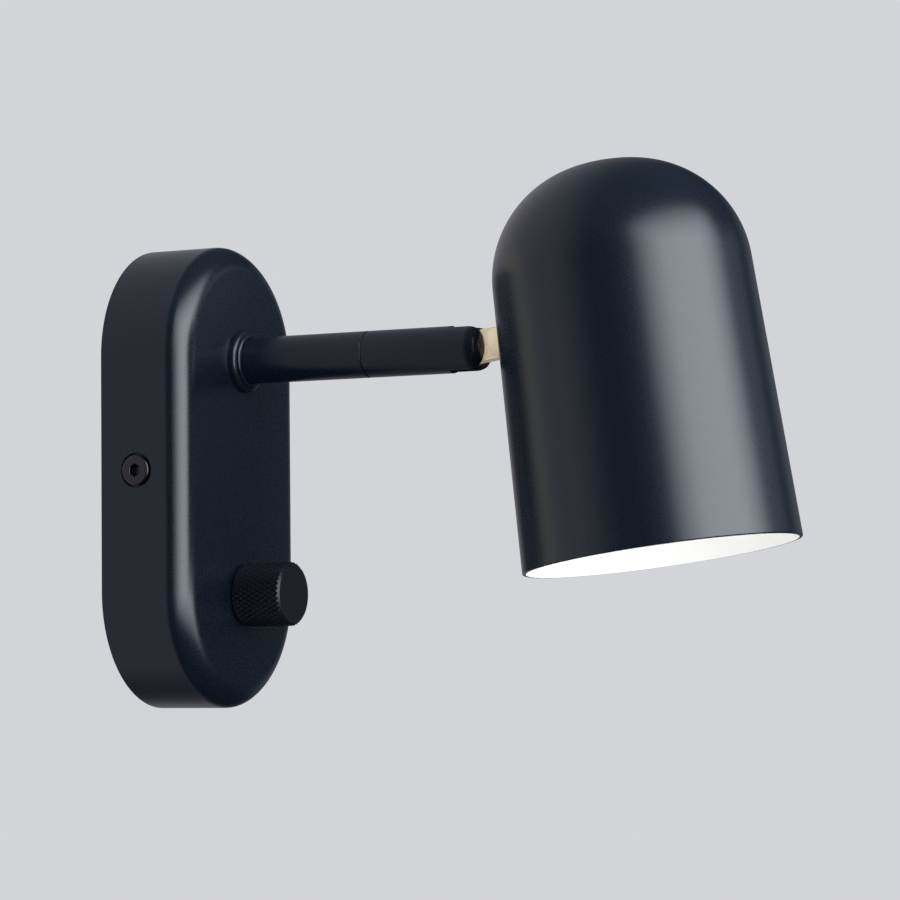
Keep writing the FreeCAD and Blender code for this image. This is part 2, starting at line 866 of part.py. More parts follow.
def make_hinge_washers():
    """Friction washers between the tongue and the two ears of the fork."""
    ear = slot_width / 2
    inner = hinge_radius + slip_gap
    right = turned_across(pivot_out, arm_height, [
        (inner, ear - hinge_washer),
        (hinge_washer_radius, ear - hinge_washer),
        (hinge_washer_radius, ear),
        (inner, ear),
    ])
    return Part.makeCompound([right, mirrored(right)])


# Shade and what hangs in it

def shoulder_arc():
    """Radius of the shoulder's arc and how far its centre lies above the crown's, so that the arc runs
    smoothly into the crown's arc and into the straight skirt."""
    slope = shade_slope
    below = shade_length - shade_crown_radius
    skirt_reach = shade_mouth_radius * math.cos(slope) - below * math.sin(slope)
    left_over = shade_crown_radius - skirt_reach + shade_shoulder_offset * math.cos(slope)
    root = math.sqrt(left_over ** 2 - (shade_shoulder_offset * math.cos(slope)) ** 2)
    rise = (left_over * math.sin(slope) + root) / math.cos(slope) ** 2
    return skirt_reach - shade_shoulder_offset * math.cos(slope) - rise * math.sin(slope), rise


def shade_section(offset):
    """Edges of half the bell, inset from its outside by an offset, from the top down to the mouth."""
    shoulder_radius, rise = shoulder_arc()
    turn = math.atan(shade_shoulder_offset / rise)
    at = lambda radius, drop: place(radius, shade_axis_out, apex_height - drop)

    def on_crown(angle):
        radius = shade_crown_radius - offset
        return at(radius * math.sin(angle), shade_crown_radius - radius * math.cos(angle))

    def on_shoulder(angle):
        radius = shoulder_radius - offset
        centre_drop = shade_crown_radius - rise
        return at(shade_shoulder_offset + radius * math.sin(angle), centre_drop - radius * math.cos(angle))

    skirt = math.pi / 2 - shade_slope
    mouth = at(shade_mouth_radius - offset / math.cos(shade_slope), shade_length)
    return [
        Part.Arc(on_crown(0), on_crown(turn / 2), on_crown(turn)).toShape(),
        Part.Arc(on_shoulder(turn), on_shoulder((turn + skirt) / 2), on_shoulder(skirt)).toShape(),
        Part.LineSegment(on_shoulder(skirt), mouth).toShape(),
    ]


def bell(offset):
    """The solid inside the bell, inset by an offset."""
    edges = shade_section(offset)
    top = edges[0].Vertexes[0].Point
    rim = edges[-1].Vertexes[-1].Point
    floor = FreeCAD.Vector(top.x, top.y, rim.z)
    edges.append(Part.LineSegment(rim, floor).toShape())
    edges.append(Part.LineSegment(floor, top).toShape())
    return Part.Face(Part.Wire(edges)).revolve(place(0, shade_axis_out, 0), UP, 360)


def wall_out_at_stud(offset):
    """How far out the near wall of the upright shade is, at the height of the stud."""
    return pivot_out + shade_wall_reach + offset / math.cos(shade_slope)


def make_shade():
    """Spun bell, bored for the stud."""
    shell = bell(0).cut(bell(shade_wall))
    stud_hole = hole(0, wall_out_at_stud(0), arm_height, ROOM, shade_wall, stud_radius + slip_gap)
    return tilted(shell.cut(stud_hole))


def washer_seat_out():
    """Where a flat washer on the stud meets the two edges of the curved leg."""
    middle_out = wall_out_at_stud(shade_wall + seat_gap + lamp_sheet)
    radius = shade_axis_out - middle_out
    half = lamp_sheet_width / 2
    return middle_out + radius - math.sqrt(radius ** 2 - half ** 2) + seat_gap


def stud_end_out():
    """Inner end of the stud, past the bracket, the washer and the nut."""
    return washer_seat_out() + shade_washer + shade_nut_height + stud_tail


def make_hinge_tongue():
    """Brass tongue: a flat eye milled on a turned stem, a saddle against the shade and a hollow stud."""
    half = tongue_thickness / 2
    flat_end = pivot_out + tongue_flat_end
    wall_out = wall_out_at_stud(0)
    eye = bar(-half, pivot_out, arm_height, RIGHT, tongue_thickness, tongue_eye_radius)
    web = block((-half, half), (pivot_out, flat_end + tongue_flange),
                (arm_height - tongue_eye_radius, arm_height + tongue_eye_radius))
    stem = turned(arm_height, [
        (0, flat_end),
        (tongue_eye_radius, flat_end, arm_edge),
        (tongue_flange_radius, wall_out - tongue_flange),
        (tongue_flange_radius, wall_out + tongue_flange),
        (stud_radius, wall_out + tongue_flange),
        (stud_radius, stud_end_out(), arm_edge),
        (0, stud_end_out()),
    ])
    saddle = bell(0).cut(bar(0, wall_out - overrun, arm_height, ROOM, shade_radius_at_stud, stud_radius))
    tongue = eye.fuse([web, stem]).cut(saddle)
    lead_slot = block((-tongue_slot_width / 2, tongue_slot_width / 2),
                      (pivot_out - tongue_eye_radius - overrun, pivot_out + tongue_slot_end),
                      (arm_height - tongue_slot_height / 2, arm_height + tongue_slot_height / 2))
    bore_start = pivot_out + hinge_radius + tongue_slot_width
    cuts = [
        lead_slot,
        bar(-overrun, pivot_out, arm_height, RIGHT, 2 * overrun, hinge_radius + running_gap),
        bar(0, bore_start, arm_height, ROOM, stud_end_out() - bore_start + overrun, stud_bore_radius),
    ]
    return tilted(tongue.cut(cuts).removeSplitter())


def make_lamp_bracket():
    """Pressed bracket: a leg that follows the wall of the shade and a plate that carries the lampholder."""
    cavity = bell(shade_wall + seat_gap)
    band = cavity.cut(bell(shade_wall + seat_gap + lamp_sheet))
    half = lamp_sheet_width / 2
    top = apex_height - lamp_plate_drop
    low = arm_height - lamp_leg_below_stud
    leg = band.common(block((-half, half), (pivot_out, shade_axis_out - half), (low, top)))
    plate = block((-half, half), (pivot_out, shade_axis_out), (top - lamp_sheet, top))
    disc = bar(0, shade_axis_out, top - lamp_sheet, UP, lamp_sheet, lamp_plate_radius)
    plate = plate.fuse(disc).common(cavity)
    lead_hole_out = shade_axis_out - lamp_lead_hole_reach
    cuts = [
        bar(0, pivot_out, arm_height, ROOM, shade_axis_out - pivot_out, stud_radius + slip_gap),
        hole(0, shade_axis_out, top - lamp_sheet, UP, lamp_sheet, holder_nipple_radius + slip_gap),
        hole(0, lead_hole_out, top - lamp_sheet, UP, lamp_sheet, lamp_lead_hole_radius),
    ]
    return tilted(leg.fuse(plate).cut(cuts).removeSplitter())


def make_shade_washer():
    start = washer_seat_out()
    washer = ring(arm_height, start, start + shade_washer, stud_radius + slip_gap, shade_washer_radius)
    return tilted(washer)


def make_shade_nut():
    start = washer_seat_out() + shade_washer
    nut = make_hex_nut(arm_height, start, shade_nut_height, stud_radius + thread_gap, shade_nut_across)
    return tilted(nut)


def make_holder_nipple():
    """Short hollow thread between the bracket's plate and the cap of the lampholder."""
    top = lamp_plate_drop - holder_nipple_up
    bottom = plate_bottom_drop + holder_nipple_down
    return tilted(turned_in_shade([
        (holder_nipple_bore, top),
        (holder_nipple_radius, top),
        (holder_nipple_radius, bottom),
        (holder_nipple_bore, bottom),
    ]))


def make_holder_nut():
    """Nut above the bracket's plate."""
    base = apex_height - lamp_plate_drop
    corner = holder_nut_across / math.sqrt(3)
    sides = 6
    corners = []
    for index in range(sides + 1):
        angle = 2 * math.pi * index / sides
        corners.append(place(corner * math.cos(angle), shade_axis_out + corner * math.sin(angle), base))
    nut = Part.Face(Part.makePolygon(corners)).extrude(UP * holder_nut_height)
    tapping = hole(0, shade_axis_out, base, UP, holder_nut_height, holder_nipple_radius + thread_gap)
    return tilted(nut.cut(tapping))


def make_holder_cap():
    """Upper half of the lampholder, a waisted moulding that screws on to the nipple."""
    top = plate_bottom_drop
    thread = holder_nipple_radius + thread_gap
    inside = holder_nipple_down + thread_gap
    return tilted(turned_in_shade([
        (thread, top),
        (cap_top_radius, top, cap_edge),
        (cap_radius, top + cap_length / 2),
        (cap_radius, cap_end_drop),
        (cap_radius - holder_wall, cap_end_drop),
        (cap_radius - holder_wall, top + inside),
        (thread, top + inside),
    ]))


def make_holder_body():
    """Lower half of the lampholder, a skirt with a grip ring and a floor under the contacts."""
    inner = holder_radius - holder_wall
    rib_start = cap_end_drop + holder_floor
    return tilted(turned_in_shade([
        (0, cap_end_drop),
        (holder_radius, cap_end_drop),
        (holder_radius, rib_start),
        (holder_rib_radius, rib_start),
        (holder_rib_radius, rib_start + holder_rib),
        (holder_radius, rib_start + holder_rib),
        (holder_radius, holder_end_drop, holder_edge),
        (inner, holder_end_drop),
        (inner, cap_end_drop + holder_floor),
        (0, cap_end_drop + holder_floor),
    ]))


def make_holder_contact():
    """Springy centre contact: a strip that lifts from the floor to the tip of the bulb."""
    floor = apex_height - cap_end_drop - holder_floor
    lift = contact_rise + contact_sheet
    foot = holder_radius - holder_wall - slip_gap - contact_width / 2
    at = lambda x, height: place(x, shade_axis_out - contact_width / 2, height)
    face = outline(at, [
        (-foot, floor),
        (-foot, floor - contact_sheet),
        (-foot / 2, floor - contact_sheet),
        (-contact_width / 2, floor - lift),
        (contact_width / 2, floor - lift),
        (contact_width / 2, floor - lift + contact_sheet),
        (-contact_width / 2, floor - lift + contact_sheet),
        (-foot / 2 + contact_sheet, floor),
    ])
    return tilted(face.extrude(ROOM * contact_width))


def make_holder_shell():
    """Brass screw shell in the holder that the bulb turns into."""
    start = bulb_floor_drop
    inner = screw_cap_radius + thread_gap
    outer = holder_radius - holder_wall - slip_gap
    sheet = contact_sheet
    return tilted(turned_in_shade([
        (inner, start),
        (outer, start),
        (outer, start + sheet),
        (inner + sheet, start + sheet),
        (inner + sheet, start + screw_cap_length),
        (inner, start + screw_cap_length),
    ]))


def make_bulb_tip():
    """Solder tip and glass insulator at the end of the screw cap."""
    tip = bulb_floor_drop + bulb_tip
    return tilted(turned_in_shade([
        (0, bulb_floor_drop),
        (bulb_tip_radius, bulb_floor_drop, bulb_tip / 2),
        (bulb_tip_radius, tip),
        (bulb_insulator_radius, screw_cap_drop),
        (0, screw_cap_drop),
    ]))


def make_screw_cap():
    """Metal screw cap of the bulb."""
    return tilted(turned_in_shade([
        (0, screw_cap_drop),
        (screw_cap_radius, screw_cap_drop, bulb_tip),
        (screw_cap_radius, neck_drop),
        (0, neck_drop),
    ]))


def make_bulb_base():
    """Moulded driver housing, from the screw cap to the globe."""
    return tilted(turned_in_shade([
        (0, neck_drop),
        (bulb_neck_radius, neck_drop, bulb_tip),
        (bulb_rim_radius, bulb_rim_drop),
        (0, bulb_rim_drop),
    ]))


def make_globe():
    """Opal globe of the bulb, open where it sits on the housing."""
    at = lambda radius, drop: place(radius, shade_axis_out, apex_height - drop)
    neck_angle = math.asin(bulb_rim_radius / globe_radius)

    def on_globe(radius, angle):
        return at(radius * math.sin(angle), globe_centre_drop - radius * math.cos(angle))

    inner_radius = globe_radius - globe_wall
    inner_angle = math.acos(globe_overlap / inner_radius)
    rim = on_globe(globe_radius, neck_angle)
    foot = on_globe(globe_radius, math.pi)
    inner_foot = on_globe(inner_radius, math.pi)
    inner_rim = on_globe(inner_radius, inner_angle)
    middle = on_globe(globe_radius, (neck_angle + math.pi) / 2)
    inner_middle = on_globe(inner_radius, (inner_angle + math.pi) / 2)
    face = Part.Face(Part.Wire([
        Part.Arc(rim, middle, foot).toShape(),
        Part.LineSegment(foot, inner_foot).toShape(),
        Part.Arc(inner_foot, inner_middle, inner_rim).toShape(),
        Part.LineSegment(inner_rim, rim).toShape(),
    ]))
    return tilted(face.revolve(place(0, shade_axis_out, 0), UP, 360))


# Knob and dimmer

def spindle_end_out():
    """Front end of the dimmer's spindle, just short of the bottom of its bore in the knob."""
    return knob_front_out - knob_face - dimmer_spindle_end_gap


def make_knob():
    """Turned knob with chamfered edges, a recess over the dimmer's nut and a bore for the spindle."""
    bore = dimmer_spindle_radius + seat_gap
    recess_end = knob_start + knob_recess_depth
    knob = turned(knob_height, [
        (knob_recess_radius, knob_start),
        (knob_radius - knob_rear_chamfer, knob_start),
        (knob_radius, knob_start + knob_rear_chamfer),
        (knob_radius, knob_front_out - knob_front_chamfer),
        (knob_radius - knob_front_chamfer, knob_front_out),
        (0, knob_front_out),
        (0, knob_front_out - knob_face),
        (bore, knob_front_out - knob_face),
        (bore, recess_end),
        (knob_recess_radius, recess_end),
    ])
    tapping = bar(0, grub_out, knob_height, RIGHT, knob_radius + overrun, grub_radius + thread_gap)
    return knob.cut(tapping)


def make_grub_screw():
    """Socket set screw that bears on the flat of the spindle."""
    start = dimmer_spindle_flat + seat_gap
    end = start + grub_length
    screw = bar(start, grub_out, knob_height, RIGHT, grub_length, grub_radius)
    socket = hexagon(end - grub_hex_depth, grub_out, knob_height, RIGHT, grub_hex_depth + overrun,
                     grub_hex_across)
    return screw.cut(socket)


def make_dimmer_spindle():
    """Spindle of the dimmer, with a flat for the set screw."""
    start = casing_inside_out - dimmer_spindle_tail
    end = spindle_end_out()
    spindle = bar(0, start, knob_height, ROOM, end - start, dimmer_spindle_radius)
    flat = block((dimmer_spindle_flat, dimmer_spindle_radius + overrun),
                 (knob_start + knob_recess_depth, end + overrun),
                 (knob_height - knob_radius, knob_height + knob_radius))
    return spindle.cut(flat)


def make_dimmer_bush():
    """Threaded bush of the dimmer, clamped through the casing."""
    end = casing_depth + dimmer_bush_rise
    flange = casing_inside_out - dimmer_bush_flange
    bore = dimmer_spindle_radius + running_gap
    return turned(knob_height, [
        (bore, flange),
        (dimmer_bush_flange_radius, flange),
        (dimmer_bush_flange_radius, casing_inside_out),
        (dimmer_bush_radius, casing_inside_out),
        (dimmer_bush_radius, end),
        (bore, end),
    ])


def make_dimmer_housing():
    """Moulded housing of the dimmer, with rounded corners, against the inside of the casing."""
    half = dimmer_width / 2
    low = knob_height - half
    high = knob_height + half
    face = outline(lambda x, height: place(x, dimmer_start, height), [
        (-half, low, dimmer_corner),
        (half, low, dimmer_corner),
        (half, high, dimmer_corner),
        (-half, high, dimmer_corner),
    ])
    housing = face.extrude(ROOM * dimmer_depth)
    cuts = [
        bar(0, casing_inside_out - dimmer_bush_flange, knob_height, ROOM, dimmer_bush_flange + overrun,
            dimmer_bush_flange_radius + seat_gap),
        bar(0, casing_inside_out - dimmer_spindle_tail - slip_gap, knob_height, ROOM,
            dimmer_spindle_tail + overrun, dimmer_spindle_radius + slip_gap),
    ]
    for x in (block_pitch, dimmer_lamp_entry_x):
        cuts.append(bar(x, dimmer_start + dimmer_depth / 2, high - dimmer_entry_depth, UP,
                        dimmer_entry_depth + overrun, lead_radius + seat_gap))
    return housing.cut(cuts)


def make_dimmer_washer():
    return ring(knob_height, casing_depth, casing_depth + dimmer_washer, dimmer_bush_radius + slip_gap,
                dimmer_washer_radius)


def make_dimmer_nut():
    return make_hex_nut(knob_height, casing_depth + dimmer_washer, dimmer_nut_height,
                        dimmer_bush_radius + thread_gap, dimmer_nut_across)


# Leads inside the lamp

def make_casing_leads():
    """Leads in the casing and the rear tube: supply to the dimmer, dimmed live to the lamp, and neutral."""
    dimmer_top = knob_height + dimmer_width / 2
    dimmer_middle = dimmer_start + dimmer_depth / 2
    in_dimmer = dimmer_top - dimmer_entry_depth + seat_gap
    tube_low = block_height - tube_length / 2
    tube_top = block_height + tube_length / 2
    gap_middle = (tube_low + dimmer_top) / 2
    turn_out = casing_inside_out - nipple_inner_reach - 2 * lead_bend
    supply = lead([
        place(block_pitch, tube_out(), tube_low + lead_insertion),
        place(block_pitch, tube_out(), gap_middle),
        place(block_pitch, dimmer_middle, gap_middle),
        place(block_pitch, dimmer_middle, in_dimmer),
    ])
    live = lead([
        place(dimmer_lamp_entry_x, dimmer_middle, in_dimmer),
        place(dimmer_lamp_entry_x, dimmer_middle, tube_top),
        place(0, turn_out, arm_height - lead_spread),
        place(0, lead_split_out, arm_height - lead_spread),
    ])
    neutral = lead([
        place(-block_pitch, tube_out(), tube_top - lead_insertion),
        place(-block_pitch, tube_out(), tube_top + 2 * lead_bend),
        place(0, turn_out - 2 * lead_spread, arm_height + lead_spread),
        place(0, lead_split_out, arm_height + lead_spread),
    ])
    return Part.makeCompound([supply, live, neutral])


def make_front_arm_leads():
    """Pair of leads through the spindle and the front part of the arm, up to the floor of the fork."""
    pair = []
    for side in (-1, 1):
        height = arm_height + side * lead_spread
        pair.append(bar(0, lead_split_out, height, ROOM, slot_floor_out - lead_split_out, lead_radius))
    return Part.makeCompound(pair)


def make_head_leads():
    """Pair of leads past the hinge screw, through the stud and over the bracket into the lampholder."""
    start_out = pivot_out - math.sqrt(tongue_eye_radius ** 2 - lead_pin_height ** 2)
    rise_out = shade_axis_out - lamp_lead_hole_reach
    arch = apex_height - lamp_plate_drop + holder_nipple_up + lead_arch_rise
    low = apex_height - plate_bottom_drop - holder_nipple_down
    pair = []
    for side in (-1, 1):
        shift = side * lead_spread
        pair.append(lead([
            place(0, start_out, arm_height + side * lead_pin_height),
            place(0, pivot_out + hinge_radius, arm_height + side * lead_pin_height),
            place(0, pivot_out + tongue_slot_end + tongue_slot_width, arm_height + shift),
            place(0, rise_out - shift, arm_height + shift),
            place(0, rise_out - shift, arch + shift),
            place(0, shade_axis_out + shift, arch + shift),
            place(0, shade_axis_out + shift, low),
        ]))
    return tilted(Part.makeCompound(pair))


def make_nodes():
    return {
        "wall_bracket": make_wall_bracket,
        "cable_grommet": make_cable_grommet,
        "terminal_block": make_terminal_block,
        "terminal_tubes": make_terminal_tubes,
        "terminal_screws": make_terminal_screws,
        "terminal_block_screw": make_block_screw,
        "earth_screw": make_earth_screw,
        "earth_washer": make_earth_washer,
        "casing": make_casing,
        "casing_side_screws": make_side_screws,
        "arm_nipple": make_arm_nipple,
        "arm_lock_washer": make_arm_washer,
        "arm_nut": make_arm_nut,
        "arm_collar": make_arm_collar,
        "rear_arm": make_rear_arm,
        "swivel_bush": make_swivel_bush,
        "swivel_seam_washer": make_seam_washer,
        "swivel_spindle": make_swivel_spindle,
        "swivel_spring_washer": make_spring_washer,
        "swivel_nut": make_swivel_nut,
        "swivel_stop_pin": make_stop_pin,
        "front_arm": make_front_arm,
        "hinge_screw": make_hinge_screw,
        "hinge_disc_spring": make_disc_spring,
        "hinge_washers": make_hinge_washers,
        "hinge_tongue": make_hinge_tongue,
        "shade": make_shade,
        "shade_washer": make_shade_washer,
        "shade_nut": make_shade_nut,
        "lamp_bracket": make_lamp_bracket,
        "holder_nipple": make_holder_nipple,
        "holder_nut": make_holder_nut,
        "lampholder_cap": make_holder_cap,
        "lampholder_body": make_holder_body,
        "lampholder_contact": make_holder_contact,
        "lampholder_shell": make_holder_shell,
        "bulb_tip": make_bulb_tip,
        "bulb_screw_cap": make_screw_cap,
        "bulb_base": make_bulb_base,
        "bulb_globe": make_globe,
        "knob": make_knob,
        "knob_grub_screw": make_grub_screw,
        "dimmer_spindle": make_dimmer_spindle,
        "dimmer_bush": make_dimmer_bush,
        "dimmer_housing": make_dimmer_housing,
        "dimmer_washer": make_dimmer_washer,
        "dimmer_nut": make_dimmer_nut,
        "casing_leads": make_casing_leads,
        "front_arm_leads": make_front_arm_leads,
        "head_leads": make_head_leads,
    }


os.makedirs("parts", exist_ok=True)
for name, make in make_nodes().items():
    shape = make()
    shape.exportStep("parts/" + name + ".step")
    print(name, "solids", len(shape.Solids), "volume", round(shape.Volume, 1), "valid", shape.isValid())
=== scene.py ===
import math

import bmesh
import bpy
from bpy.props import FloatProperty, FloatVectorProperty, IntProperty, PointerProperty
from mathutils import Matrix, Vector


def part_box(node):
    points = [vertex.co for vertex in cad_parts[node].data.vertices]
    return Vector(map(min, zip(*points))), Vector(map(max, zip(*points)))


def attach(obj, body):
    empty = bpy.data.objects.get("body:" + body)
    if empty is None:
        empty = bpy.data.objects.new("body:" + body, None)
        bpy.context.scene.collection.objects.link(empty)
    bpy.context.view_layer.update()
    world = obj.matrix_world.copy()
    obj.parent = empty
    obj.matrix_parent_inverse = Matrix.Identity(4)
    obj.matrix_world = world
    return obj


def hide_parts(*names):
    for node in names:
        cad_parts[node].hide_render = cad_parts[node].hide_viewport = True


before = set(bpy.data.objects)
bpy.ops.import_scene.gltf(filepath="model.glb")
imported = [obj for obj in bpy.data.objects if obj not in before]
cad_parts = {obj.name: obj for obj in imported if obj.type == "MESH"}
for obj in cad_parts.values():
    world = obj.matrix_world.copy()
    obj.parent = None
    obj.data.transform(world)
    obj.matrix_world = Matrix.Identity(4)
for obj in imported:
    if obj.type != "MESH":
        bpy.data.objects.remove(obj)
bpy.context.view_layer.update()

bl_info = {
    "name": "Wall lamp with a swivel arm",
    "version": (1, 0, 0),
    "blender": (4, 5, 0),
    "location": "3D View > Sidebar > Wall lamp",
    "description": "Models and finishes the pieces of a wall lamp and sets up its studio",
    "category": "Object",
}

MM = 0.001
WELD = 0.001 * MM  # points closer than this are one point

# Turned pieces are drawn with their axis along Z, then laid along their axis on the lamp.
OUTWARD = Matrix(((1, 0, 0), (0, 0, -1), (0, 1, 0)))  # Z runs from the wall into the room, Y is up
DOWNWARD = Matrix(((1, 0, 0), (0, -1, 0), (0, 0, -1)))  # Z runs down the axis of the shade
RIGHTWARD = Matrix(((0, 0, 1), (0, 1, 0), (-1, 0, 0)))  # Z runs to the right, X is down


def linear(colour):
    """Scene-linear red, green, blue and alpha of an sRGB hex colour."""
    parts = [int(colour[start:start + 2], 16) / 255 for start in (1, 3, 5)]
    return [part / 12.92 if part <= 0.04045 else ((part + 0.055) / 1.055) ** 2.4
            for part in parts] + [1.0]


def length(name, description, millimetres):
    """A length that a user can change, with its default in millimetres."""
    return FloatProperty(name=name, description=description, default=millimetres * MM, min=0.0,
                         unit="LENGTH", subtype="DISTANCE", precision=5)


def turn_angle(name, description, degrees):
    """An angle that a user can change, with its default in degrees."""
    return FloatProperty(name=name, description=description, default=math.radians(degrees),
                         unit="ROTATION", subtype="ANGLE")


def colour(name, description, value):
    """A colour that a user can change, with its default as an sRGB hex value."""
    return FloatVectorProperty(name=name, description=description, default=linear(value)[:3],
                               size=3, min=0.0, max=1.0, subtype="COLOR")


def box_size(node, axis):
    """Length of a CAD node along an axis, in millimetres."""
    low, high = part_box(node)
    return (high[axis] - low[axis]) / MM


class CasingSizes(bpy.types.PropertyGroup):
    """Casing on the wall and its side screws."""
    width: length("Width", "Across the casing", box_size("casing", 0))
    height: length("Height", "From the top to the bottom of the casing", 160.0)
    depth: length("Depth", "From the wall to the front face", 34.0)
    wall: length("Wall", "Thickness of the cast shell", 2.5)
    crown_turn: turn_angle("Crown", "Turn of the swelling front from its middle to its edge", 2.9)
    edge_side: length("Edge at the side", "Radius where the front edge leaves the side", 5.0)
    edge_radius: length("Front edge", "Radius of the flatter middle of the front edge", 11.35)
    edge_front: length("Edge at the front", "Radius where the front edge meets the front", 8.47)
    edge_start: turn_angle("Flatter from", "Turn from the side at which the edge gets flatter", 33)
    edge_end: turn_angle("Flatter to", "Turn from the side at which the edge gets tight again", 60)
    inner_edge_radius: length("Inner edge", "Radius of the edge inside the shell", 7.5)
    rim_gap: length("Rim gap", "Shadow gap between the rim and the wall", 0.5)
    rim_edge: length("Rim edge", "Rounding of the rim at the wall", 0.3)
    screw_out: length("Side screw out", "From the wall to the axis of a side screw", 14.4)
    screw_height: length("Side screw height", "Height of the side screws over the middle", 1.0)
    screw_radius: length("Side screw radius", "Radius of a side screw's thread", 3.0)
    head_radius: length("Head radius", "Radius of a side screw's head", 5.15)
    head_height: length("Head height", "Height of a side screw's head", 2.0)
    head_edge: length("Head edge", "Rounding of a side screw's head", 0.5)
    recess_depth: length("Recess depth", "Depth of the seat of a side screw", 1.2)
    recess_gap: length("Recess gap", "Gap round the head in its seat", 0.6)
    recess_edge: length("Recess edge", "Soft edge that the paint leaves round the seat", 0.35)
    hex_across: length("Hexagon", "Across the flats of the socket", 4.0)
    hex_depth: length("Hexagon depth", "Depth of the socket", 2.6)
    hex_lip: length("Socket lip", "Chamfer round the socket", 0.05)
    screw_length: length("Side screw length", "From under a side screw's head to its tip", 5.6)
    hole_gap: length("Hole gap", "Gap round a screw or tube in a plain hole", 0.15)


class ArmSizes(bpy.types.PropertyGroup):
    """Collar and arm."""
    height: length("Height", "Height of the arm over the middle of the casing", 40.0)
    radius: length("Radius", "Radius of the arm", 8.0)
    nipple_radius: length("Nipple radius", "Radius of the tube at the foot of the arm", 5.0)
    collar_radius: length("Collar radius", "Radius of the collar's base", 11.0)
    collar_base: length("Collar base", "Height of the collar's base", 2.2)
    collar_base_edge: length("Base edge", "Rounding of the collar's base", 1.7)
    collar_step_radius: length("Step radius", "Radius of the collar's step", 9.6)
    collar_step: length("Collar step", "Height of the collar's step", 1.2)
    collar_step_edge: length("Step edge", "Rounding of the collar's step", 0.95)
    collar_socket: length("Socket", "Depth of the arm's socket in the collar", 1.4)
    pivot_out: length("Hinge out", "From the wall to the hinge of the shade", 122.0)
    slot_floor: length("Slot floor", "From the wall to the floor of the fork's slot", 114.8)
    nose: length("Nose", "From the hinge to the tip of the fork's nose", 6.4)
    hinge_land: length("Hinge land", "Round the hinge, where the ears stay as they are", 3.7)


class ShadeSizes(bpy.types.PropertyGroup):
    """Spun bell."""
    mouth_radius: length("Mouth radius", "Radius of the shade at its mouth", 46.0)
    length: length("Length", "From the top to the mouth", 131.3)
    wall: length("Wall", "Thickness of the spun sheet", 1.2)
    rim_edge: length("Rim edge", "Rounding of the mouth's two edges", 0.45)
    crown_radius: length("Crown radius", "Radius of the crown's arc", 67.5)
    shoulder_offset: length("Shoulder offset", "From the axis to the shoulder's centre", 4.69)
    cone: turn_angle("Cone", "Lean of the skirt from the axis", 1.91)
    wall_reach: length("Wall reach", "From the hinge to the shade's wall", 14.06)
    rise: length("Rise", "From the hinge to the top of the shade", 51.5)
    tilt: turn_angle("Tilt", "Lean of the mouth away from the wall", 7.94)
    stud_radius: length("Stud radius", "Radius of the brass stud through the wall", 4.0)
    stud_gap: length("Stud gap", "Gap round the stud in the wall", 0.15)


class KnobSizes(bpy.types.PropertyGroup):
    """Knurled knob of the dimmer."""
    drop: length("Drop", "From the middle of the casing down to the knob's axis", 41.0)
    radius: length("Radius", "Radius over the knurl", 11.0)
    start: length("Rear", "From the wall to the rear of the knob", 34.5)
    front: length("Front", "From the wall to the front of the knob", 52.9)
    front_chamfer: length("Front chamfer", "Chamfer of the front edge", 0.9)
    rear_chamfer: length("Rear chamfer", "Chamfer of the rear edge", 0.5)
    recess_radius: length("Recess radius", "Radius of the recess over the dimmer's nut", 9.2)
    recess_depth: length("Recess depth", "Depth of the recess over the dimmer's nut", 5.2)
    face: length("Face", "Thickness in front of the spindle's bore", 2.3)
    bore_radius: length("Bore radius", "Radius of the bore for the spindle", 3.02)
    grub_radius: length("Grub hole", "Radius of the hole of the grub screw", 1.55)
    knurl_depth: length("Knurl depth", "Depth of the knurl's grooves", 0.45)
    knurl_flank: length("Knurl flank", "Width of a groove's side, seen square to the knob", 0.5)
    knurl_count: IntProperty(name="Knurl count", description="Diamonds round the knob",
                             default=38, min=8)
    knurl_length: length("Diamond length", "Length of a diamond along the knob", 3.2)


class LampColours(bpy.types.PropertyGroup):
    """Colours of the finishes."""
    paint: colour("Paint", "Blue-black stoved paint", "#08111D")
    enamel: colour("Enamel", "White inside of the shade", "#F1F1EE")
    anodised: colour("Anodised black", "Knob", "#090C16")
    brass: colour("Brass", "Tongue of the hinge", "#FFEAC6")


